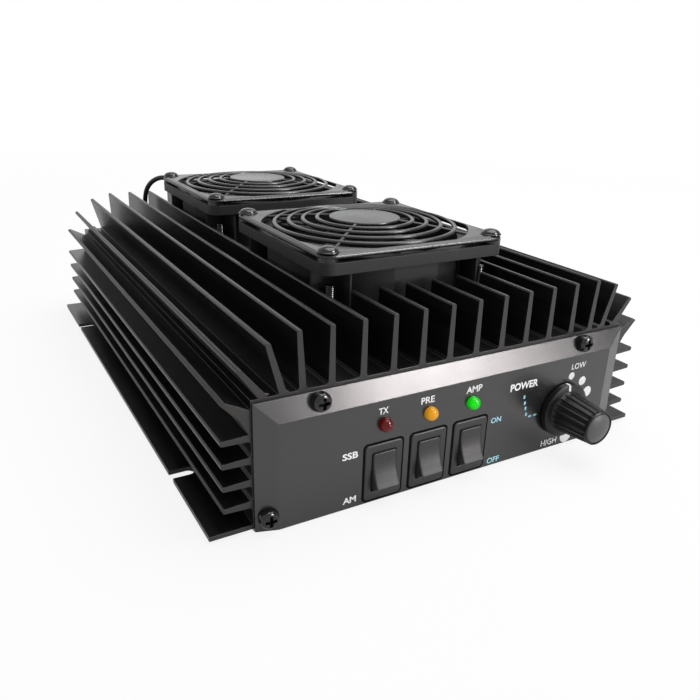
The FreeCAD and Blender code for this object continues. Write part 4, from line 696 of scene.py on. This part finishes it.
def knob_body():
    """Radius r(h) less a flute of depth (1 - exp(-(s/w)^2)), where s is the arc to the nearest rib.
    Underneath, a round hole sinks to the radius HOLE_FLOOR to make room for the set screw.  Neither
    moves a point within BODY_EDGE, so the bore stays round."""
    inside = [(0, 15.6), (3.02, 15.6), (3.02, 3.5), (6.7, 3.5), (6.7, 0)]
    skirt = softened([(6.7, 0), (10.8, 0), (10.8, 2.3), (8.3, 2.68), (8.2, 2.7)], (0.2, 0.3, 0.05))
    body = np.stack([np.linspace(8.18, 6.72, 62), np.linspace(2.75, 17.6, 62)], axis=-1)
    nose = softened([(6.7, 17.6), (6.66, 18.6), (5.98, 18.6), (5.98, 17.8), (0, 17.8)], (0.5, 0.12, 0.1))
    profile = np.concatenate([inside, skirt[1:-1], body, nose[1:]])
    columns = RIBS * 16
    radius, height = profile[:, :1], profile[:, 1:]
    t = np.linspace(0, 2 * pi, columns, endpoint=False)
    turn = 2 * pi / RIBS
    arc = (np.mod(t + turn / 2, turn) - turn / 2) * radius
    fade = np.clip((height - 2.8) / 1.0, 0, 1) * np.clip((17.9 - height) / 0.9, 0, 1)
    depth = 0.45 * fade * (radius > BODY_EDGE) * (1 - np.exp(-(arc / 0.34) ** 2))
    sheet = turned(profile, columns)
    sheet[..., :2] *= (1 - depth / np.maximum(radius, 1))[..., None]
    outward = np.hypot(sheet[..., 0], sheet[..., 1])
    away = np.hypot(sheet[..., 0], height - GRIP_HEIGHT)
    hole = np.clip((GRIP_HOLE - away) / 0.2, 0, 1) * (outward > BODY_EDGE) * (sheet[..., 1] < 0)
    sheet[..., :2] *= (1 - hole * (1 - HOLE_FLOOR / np.maximum(outward, HOLE_FLOOR)))[..., None]
    return sheet


knob_place = (KNOB_X, knob_high[1], KNOB_Z)
mesh = weld("fluted_knob", [facing(knob_body(), "-y", knob_place)], crease=60)
piece("fluted_knob", mesh, "black_plastic", "power_control", ["power_knob"])
share = np.linspace(0, 1, 14)
cap = np.stack([CAP_RADIUS * (1 - share), -0.2 + 1.05 * (1 - (1 - share) ** 2.4)], axis=-1)
cap = np.concatenate([[(0, -0.8), (CAP_RADIUS, -0.8)], cap])
mesh = weld("knob_cap", [facing(turned(cap, 72), "-y", (KNOB_X, knob_low[1], KNOB_Z))])
piece("knob_cap", mesh, "cap_plastic", "power_control", ["power_knob_cap"])

# %% [markdown]
# A painted line crosses the edge of the skirt and runs down its slope to show where the knob points.
# It is a narrow strip that follows the skirt's profile a hair outside it.

# %% Pointer line
out, height = np.array([
    (10.83, 0.25), (10.83, 2.0), (10.74, 2.22), (10.5, 2.38), (9.6, 2.52), (8.4, 2.72)]).T
strip = np.stack([np.stack([side + 0 * out, out, height], axis=-1) for side in (-0.5, 0.5)], axis=1)
mesh = weld("pointer_line", strips=[facing(strip, "-y", knob_place)])
piece("pointer_line", mesh, "white_ink", "power_control")

# %% [markdown]
# ## Fan guards
# A guard is one moulding: a plate with a raised rim round a round opening, four rings and four
# spokes that rise over the fan like a shallow dome, and a disc in the middle.  The plate is a loop
# swept between two outlines that share their angles: the rounded square outside and the opening,
# a circle cut short by the rim.

# %% Guard shapes
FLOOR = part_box("front_fan_frame")[0].z * 1000
PLATE_LOW, PLATE_TOP = FLOOR + 26.6, FLOOR + 28.6
OPENING, DISC = 41.6, 14.4
SCREW_REACH = 35.75
FANS = {"front": -55.3, "rear": 55.3}


def square_radius(t, half, corner):
    """How far a rounded square's edge is from its centre in the direction t."""
    fold = np.abs(np.mod(t + pi / 4, pi / 2) - pi / 4)
    straight = half / np.cos(fold)
    centre = half - corner
    along = centre * (np.cos(fold) + np.sin(fold))
    inner = np.clip(along ** 2 - 2 * centre ** 2 + corner ** 2, 0, None)
    return np.where(half * np.tan(fold) > centre, along + np.sqrt(inner), straight)


def rise(radius):
    """The dome's height over the plate: 3.4 mm in the middle, nothing at the opening's edge."""
    return 3.4 * (1 - (radius / OPENING) ** 2)


def guard_plate(centre, columns=320):
    """The plate's cross-section as (share from opening to edge, inset in mm, height), swept round."""
    t = np.linspace(0, 2 * pi, columns, endpoint=False)
    outer = square_radius(t, 40.0, 5.0)
    inner = np.minimum(OPENING, square_radius(t, 37.7, 4.0))
    section = np.array([
        (0, 0.35, PLATE_LOW), (0, 0.0, PLATE_LOW + 0.3), (0, 0.0, PLATE_TOP - 0.35),
        (0, 0.12, PLATE_TOP - 0.1), (0, 0.4, PLATE_TOP), (1, -1.75, PLATE_TOP),
        (1, -1.45, PLATE_TOP - 0.06), (1, -1.15, PLATE_TOP - 0.3), (1, -0.85, PLATE_TOP - 0.42),
        (1, -0.5, PLATE_TOP - 0.5), (1, -0.15, PLATE_TOP - 0.75), (1, 0.0, PLATE_TOP - 1.1),
        (1, 0.0, PLATE_LOW + 0.5), (1, -0.15, PLATE_LOW + 0.15), (1, -0.5, PLATE_LOW),
        (0, 0.35, PLATE_LOW),
    ])
    share, inset, height = section.T[..., None]
    radius = inner * (1 - share) + outer * share + inset
    return np.stack([radius * np.cos(t), centre + radius * np.sin(t), height + 0 * radius], axis=-1)


def guard_ring(centre, radius, columns=160):
    """A ring 1.7 mm wide and 1.5 mm thick with an oval section, lying on the dome."""
    t = np.linspace(0, 2 * pi, 15)
    power = 0.75
    across = 0.85 * np.sign(np.cos(t)) * np.abs(np.cos(t)) ** power
    up = 0.75 * np.sign(np.sin(t)) * np.abs(np.sin(t)) ** power
    middle = radius - 0.85
    profile = np.stack([middle + across, PLATE_TOP + rise(middle + across) - 0.75 + up], axis=-1)
    return turned(profile, columns) + (0, centre, 0)


def guard_spoke(centre, turn):
    """A rounded bar 1.6 mm wide that follows the dome from the disc to the plate's corner."""
    out = np.linspace(DISC - 1.5, 42.5, 14)[:, None]
    t = np.linspace(0, 2 * pi, 12, endpoint=False)
    side = 0.8 * np.cos(t) + 0 * out
    height = PLATE_TOP + rise(np.minimum(out, OPENING)) - 0.95 + 0.6 * np.sin(t)
    x = out * cos(turn) - side * sin(turn)
    y = out * sin(turn) + side * cos(turn)
    return capped(np.stack([x, centre + y, height], axis=-1))


def guard(name, centre):
    """Plate, rings, spokes, disc and the four feet that stand on the fan."""
    top = PLATE_TOP + rise(DISC)
    disc = softened([(0, top), (DISC, top - 0.12), (DISC, top - 1.5), (0, top - 1.5)], (0.6, 0.3))
    low, high = PLATE_LOW - 1.2, PLATE_LOW + 0.5
    foot = turned([(2.0, low), (4.0, low), (4.0, high), (2.0, high), (2.0, low)], 32)
    reach = (-SCREW_REACH, SCREW_REACH)
    sheets = [guard_plate(centre), turned(disc, 96) + (0, centre, 0)]
    sheets += [guard_ring(centre, radius) for radius in (20.1, 25.8, 31.5, 37.2)]
    sheets += [foot + (x, centre + y, 0) for x in reach for y in reach]
    sheets += [guard_spoke(centre, turn) for turn in np.radians([45, 135, 225, 315])]
    return weld(name, sheets)


for label, centre in FANS.items():
    mesh = guard(label + "_guard", centre)
    piece(label + "_guard", mesh, "guard_plastic", stands_for=[label + "_fan_guard"])

# %% [markdown]
# ## Fan rotors
# A blade is an aerofoil: thick near its leading edge, thin behind, bent a little along its chord and
# twisted more at the hub than at the tip.  Its points are worked out along the span and round the
# section, then wrapped round the fan's axis.

# %% Rotors
BLADES, ROOT, TIP = 7, 14.6, 36.6


def blade(turn):
    """Chord u and thickness n at radius r become angle turn + (u cos p - n sin p) / r and height
    u sin p + n cos p, where the pitch p falls from hub to tip."""
    span = np.linspace(0, 1, 12)[:, None]
    radius = ROOT + (TIP - ROOT) * span
    pitch = np.radians(40 - 8 * span)
    chord = 14.5 + 2.3 * span - 2.2 * np.clip(span - 0.85, 0, 1) / 0.15
    t = np.linspace(0, 2 * pi, 26, endpoint=False)
    along = 0.5 * np.cos(t)
    thick = 0.9 * np.sin(t) * (0.35 + 0.65 * np.sqrt(np.clip(0.5 - along, 0, 1)))
    camber = 0.9 * (1 - (2 * along) ** 2)
    u, n = chord * along, thick + camber - 0.4
    angle = turn + (u * np.cos(pitch) - n * np.sin(pitch)) / radius
    height = 9.9 + u * np.sin(pitch) + n * np.cos(pitch)
    return capped(np.stack([radius * np.cos(angle), radius * np.sin(angle), FLOOR + height], axis=-1))


hub = softened([(0, 1.4), (15.4, 1.4), (15.4, 20.4), (13.8, 20.4), (13.8, 3.0), (1.5, 3.0), (1.5, 21.3),
                (0, 21.3)], (1.2, 0.5, 0.3, 0.3, 0.3, 0.2))
for label, centre in FANS.items():
    sheets = [turned(hub, 96) + (0, 0, FLOOR)]
    sheets += [blade(turn) for turn in np.arange(BLADES) * 2 * pi / BLADES]
    mesh = weld(label + "_rotor_blades", [sheet + (0, centre, 0) for sheet in sheets])
    piece(label + "_rotor_blades", mesh, "fan_plastic", label + "_rotor", [label + "_fan_rotor"])

# %% [markdown]
# ## Fan frame ribs
# Thin ribs stiffen the fan's frame at its corners.  Each is a thin upright slab between the foot and
# the flange, two at every side, and it runs from the round wall out to the frame's edge.

# %% Fan frame ribs
def frame_rib(turn, side, centre):
    """A slab 1 mm thick, 28 mm to one side and 26.5 to 38.5 mm out, turned round the fan's axis."""
    slab = stacked([(0, 0, 0, 3.4), (1, 12, 0.2, 3.4), (1, 12, 0.2, 21.1), (0, 0, 0, 21.1)], 3)
    x, y, z = (slab + (28 * side, -32.5, FLOOR)).transpose(2, 0, 1)
    return np.stack([x * cos(turn) - y * sin(turn), centre + x * sin(turn) + y * cos(turn), z], axis=-1)


for label, centre in FANS.items():
    ribs = [frame_rib(turn, side, centre) for turn in np.arange(4) * pi / 2 for side in (-1, 1)]
    piece(label + "_frame_ribs", weld(label + "_frame_ribs", ribs), "fan_plastic")

# %% [markdown]
# ## Guard screws and studs
# Each guard is held by four short screws with glossy domed heads.  Four threaded studs rise from the
# roof through every fan's foot, and their ends show beside the fan, under its flange.  A thread is a
# turned surface whose radius rises and falls along a helix.

# %% Threads and domed screws
def threaded(radius, depth, pitch, low, high, columns=28):
    """Radius less depth times a triangle wave of height / pitch - turn: one ridge a turn."""
    rows = np.linspace(low, high, int((high - low) / pitch * 6) + 1)[:, None]
    t = np.linspace(0, 2 * pi, columns, endpoint=False)
    wave = np.abs(2 * np.mod(rows / pitch - t / (2 * pi), 1) - 1)
    ends = np.clip((rows - low) / pitch, 0, 1) * np.clip((high - rows) / pitch, 0, 1)
    reach = radius - depth * (1 - (1 - wave) * np.sqrt(ends))
    return np.stack([reach * np.cos(t), reach * np.sin(t), rows + 0 * reach], axis=-1)


def corners_of_fans(half, height):
    """The four places round each fan's axis at plus and minus half in x and y, at a height."""
    sides = (-half, half)
    return [(x, centre + y, height) for centre in FANS.values() for x in sides for y in sides]


over = np.linspace(0, pi / 2, 14)
head = np.stack([3.55 * np.sin(over), 0.35 + 1.75 * np.cos(over)], axis=-1)
head = np.concatenate([head, [(3.72, 0.42), (3.95, 0.34), (4.05, 0.2), (4.05, 0.0), (1.7, 0.0),
                              (1.7, -6.8), (1.3, -7.2), (0, -7.2)]])
heads = [turned(head, 48) + seat for seat in corners_of_fans(SCREW_REACH, PLATE_TOP)]
mesh = weld("guard_screw_heads", heads)
piece("guard_screw_heads", mesh, "black_screw", stands_for=["fan_guard_screws"])
STUD_REACH, STUD_FOOT, STUD_LENGTH = 33.5, 41.8, 24.2
stud = capped(threaded(1.9, 0.28, 0.7, 0.0, STUD_LENGTH))
studs = [stud + foot for foot in corners_of_fans(STUD_REACH, STUD_FOOT)]
mesh = weld("stud_threads", studs, crease=60)
# The studs take the black screw finish: their dark colour is painted shade, standing in for the dark gap
# under the flange that they mirror.
piece("stud_threads", mesh, "black_screw", stands_for=["fan_studs"])

# %% [markdown]
# ## Fan leads
# Each fan's lead leaves beside a strut, arches over the flange and dives through a grommet in the
# roof.  A cable bends smoothly, so it is a NURBS curve that follows a few points of its route.

# %% Fan leads
LEAD_RADIUS = 0.0013
LEADS = {
    "rear": [(-10.7, 67.0, 73.5), (-28.7, 98.1, 73.5), (-37.1, 106.0, 77.0), (-44.1, 112.5, 71.0),
             (-45.6, 115.0, 59.5), (-45.6, 115.0, 30.6), (-45.6, 102.6, 27.6), (-45.6, 90.2, 26.6),
             (-45.6, 84.0, 28.0), (-45.6, 84.0, 33.0)],
    "front": [(-10.7, -43.6, 73.5), (-28.7, -12.5, 73.5), (-27.5, -4.5, 66.0), (-22.8, 0.0, 55.5),
              (-22.8, 0.0, 34.6)],
}
for label, route in LEADS.items():
    curve = bpy.data.curves.new(label + "_lead", "CURVE")
    curve.dimensions = "3D"
    curve.bevel_depth = LEAD_RADIUS
    curve.bevel_resolution = 5
    curve.use_fill_caps = True
    spline = curve.splines.new("NURBS")
    spline.points.add(len(route) - 1)
    points = np.column_stack([np.array(route) * 0.001, np.ones(len(route))])
    spline.points.foreach_set("co", points.ravel())
    spline.order_u = 3
    spline.use_endpoint_u = True
    spline.resolution_u = 12
    mesh = plain_mesh(bpy.data.objects.new(label + "_lead_line", curve))
    mesh.shade_smooth()
    piece(label + "_lead", mesh, "wire", stands_for=[label + "_fan_lead"])

# %% [markdown]
# ## Aerial sockets
# Each socket is a square flange with a tail behind it and a threaded barrel in front.  The flange is
# a stack of loops that starts as a round bore, becomes a square and goes back to a round tail; the
# barrel's thread is cut as on the screws, only coarser.

# %% Sockets
def circle(radius, height):
    """A row for a stack: the rounded square whose corners are as large as half its side."""
    return (2 * radius, 2 * radius, radius, height)


FLANGE = [
    circle(6.4, 3.0), circle(7.9, 3.0), (24.9, 24.9, 1.3, 3.0), (25.3, 25.3, 1.5, 2.8),
    (25.4, 25.4, 1.6, 2.5), (25.4, 25.4, 1.6, 0.0), circle(6.9, 0.0), circle(6.9, -8.3),
    circle(2.64, -8.3), circle(2.64, 0.0), circle(6.4, 0.0), circle(6.4, 3.0),
]
for label, x in (("input", -SOCKET_X), ("output", SOCKET_X)):
    thread = threaded(7.9, 0.45, 1.06, 3.6, 13.4, 72)
    tip = turned(softened([(7.45, 13.4), (7.3, 14.0), (6.4, 14.0), (6.4, 2.9), (7.45, 2.9), (7.45, 3.6)],
                          (0.1, 0.3, 0.05, 0.05)), 72)
    place = (x, 127.3, SOCKET_Z)
    barrel = weld(label + "_barrel", [facing(np.concatenate([thread, tip]), "y", place)], crease=70)
    piece(label + "_barrel", barrel, "nickel", stands_for=[label + "_socket"])
    flange = weld(label + "_flange", [facing(stacked(FLANGE, 12), "y", place)])
    piece(label + "_flange", flange, "nickel", stands_for=[label + "_socket"])

# %% [markdown]
# ## Floor
# A pale floor that stays nearly white to the eye and still keeps the soft shadow of the amplifier.
# Only what the camera and mirrors see is whitened; the light that the floor really gets is kept.
# The whitening grows with the distance, so the far floor melts into the white world behind it.

# %% Floor
def pale_floor(near, far):
    """A white floor whose camera and mirror rays take plain white light: a share near the middle
    that grows with the distance to another share a metre away."""
    made = bpy.data.materials.new("pale_floor")
    tree = empty_tree(made)
    path = step(tree, "LightPath")
    mirrored = step(tree, "Math", (path["Is Glossy Ray"], 0.35), operation="MULTIPLY")[0]
    direct = step(tree, "Math", (path["Is Camera Ray"], mirrored), operation="ADD", use_clamp=True)[0]
    place = step(tree, "TexCoord")["Object"]
    away = step(tree, "VectorMath", (place,), operation="LENGTH")["Value"]
    share = step(tree, "MapRange", {"Value": away, "From Min": 0.2, "From Max": 1.0, "To Min": near,
                                    "To Max": far})["Result"]
    part = step(tree, "Math", (direct, share), operation="MULTIPLY")[0]
    cloud = step(tree, "TexNoise", {"Vector": place, "Scale": 6.0})[0]
    colour = step(tree, "Mix", {0: cloud, 6: (0.86, 0.86, 0.86, 1), 7: (0.9, 0.9, 0.9, 1)},
                  data_type="RGBA")[2]
    matt = step(tree, "BsdfDiffuse", {"Color": colour})["BSDF"]
    white = step(tree, "Emission", {"Color": (1, 1, 1, 1), "Strength": 1.0})["Emission"]
    step(tree, "OutputMaterial", {"Surface": step(tree, "MixShader", (part, matt, white))[0]})
    return made


FLOOR_HALF = 6000.0
corners = [[(x, y, 0.0) for x in (-FLOOR_HALF, FLOOR_HALF)] for y in (-FLOOR_HALF, FLOOR_HALF)]
floor_mesh = weld("floor", strips=[np.array(corners)])
floor = bpy.data.objects.new("floor", floor_mesh)
bpy.context.scene.collection.objects.link(floor)
floor_mesh.materials.append(pale_floor(0.86, 1.0))
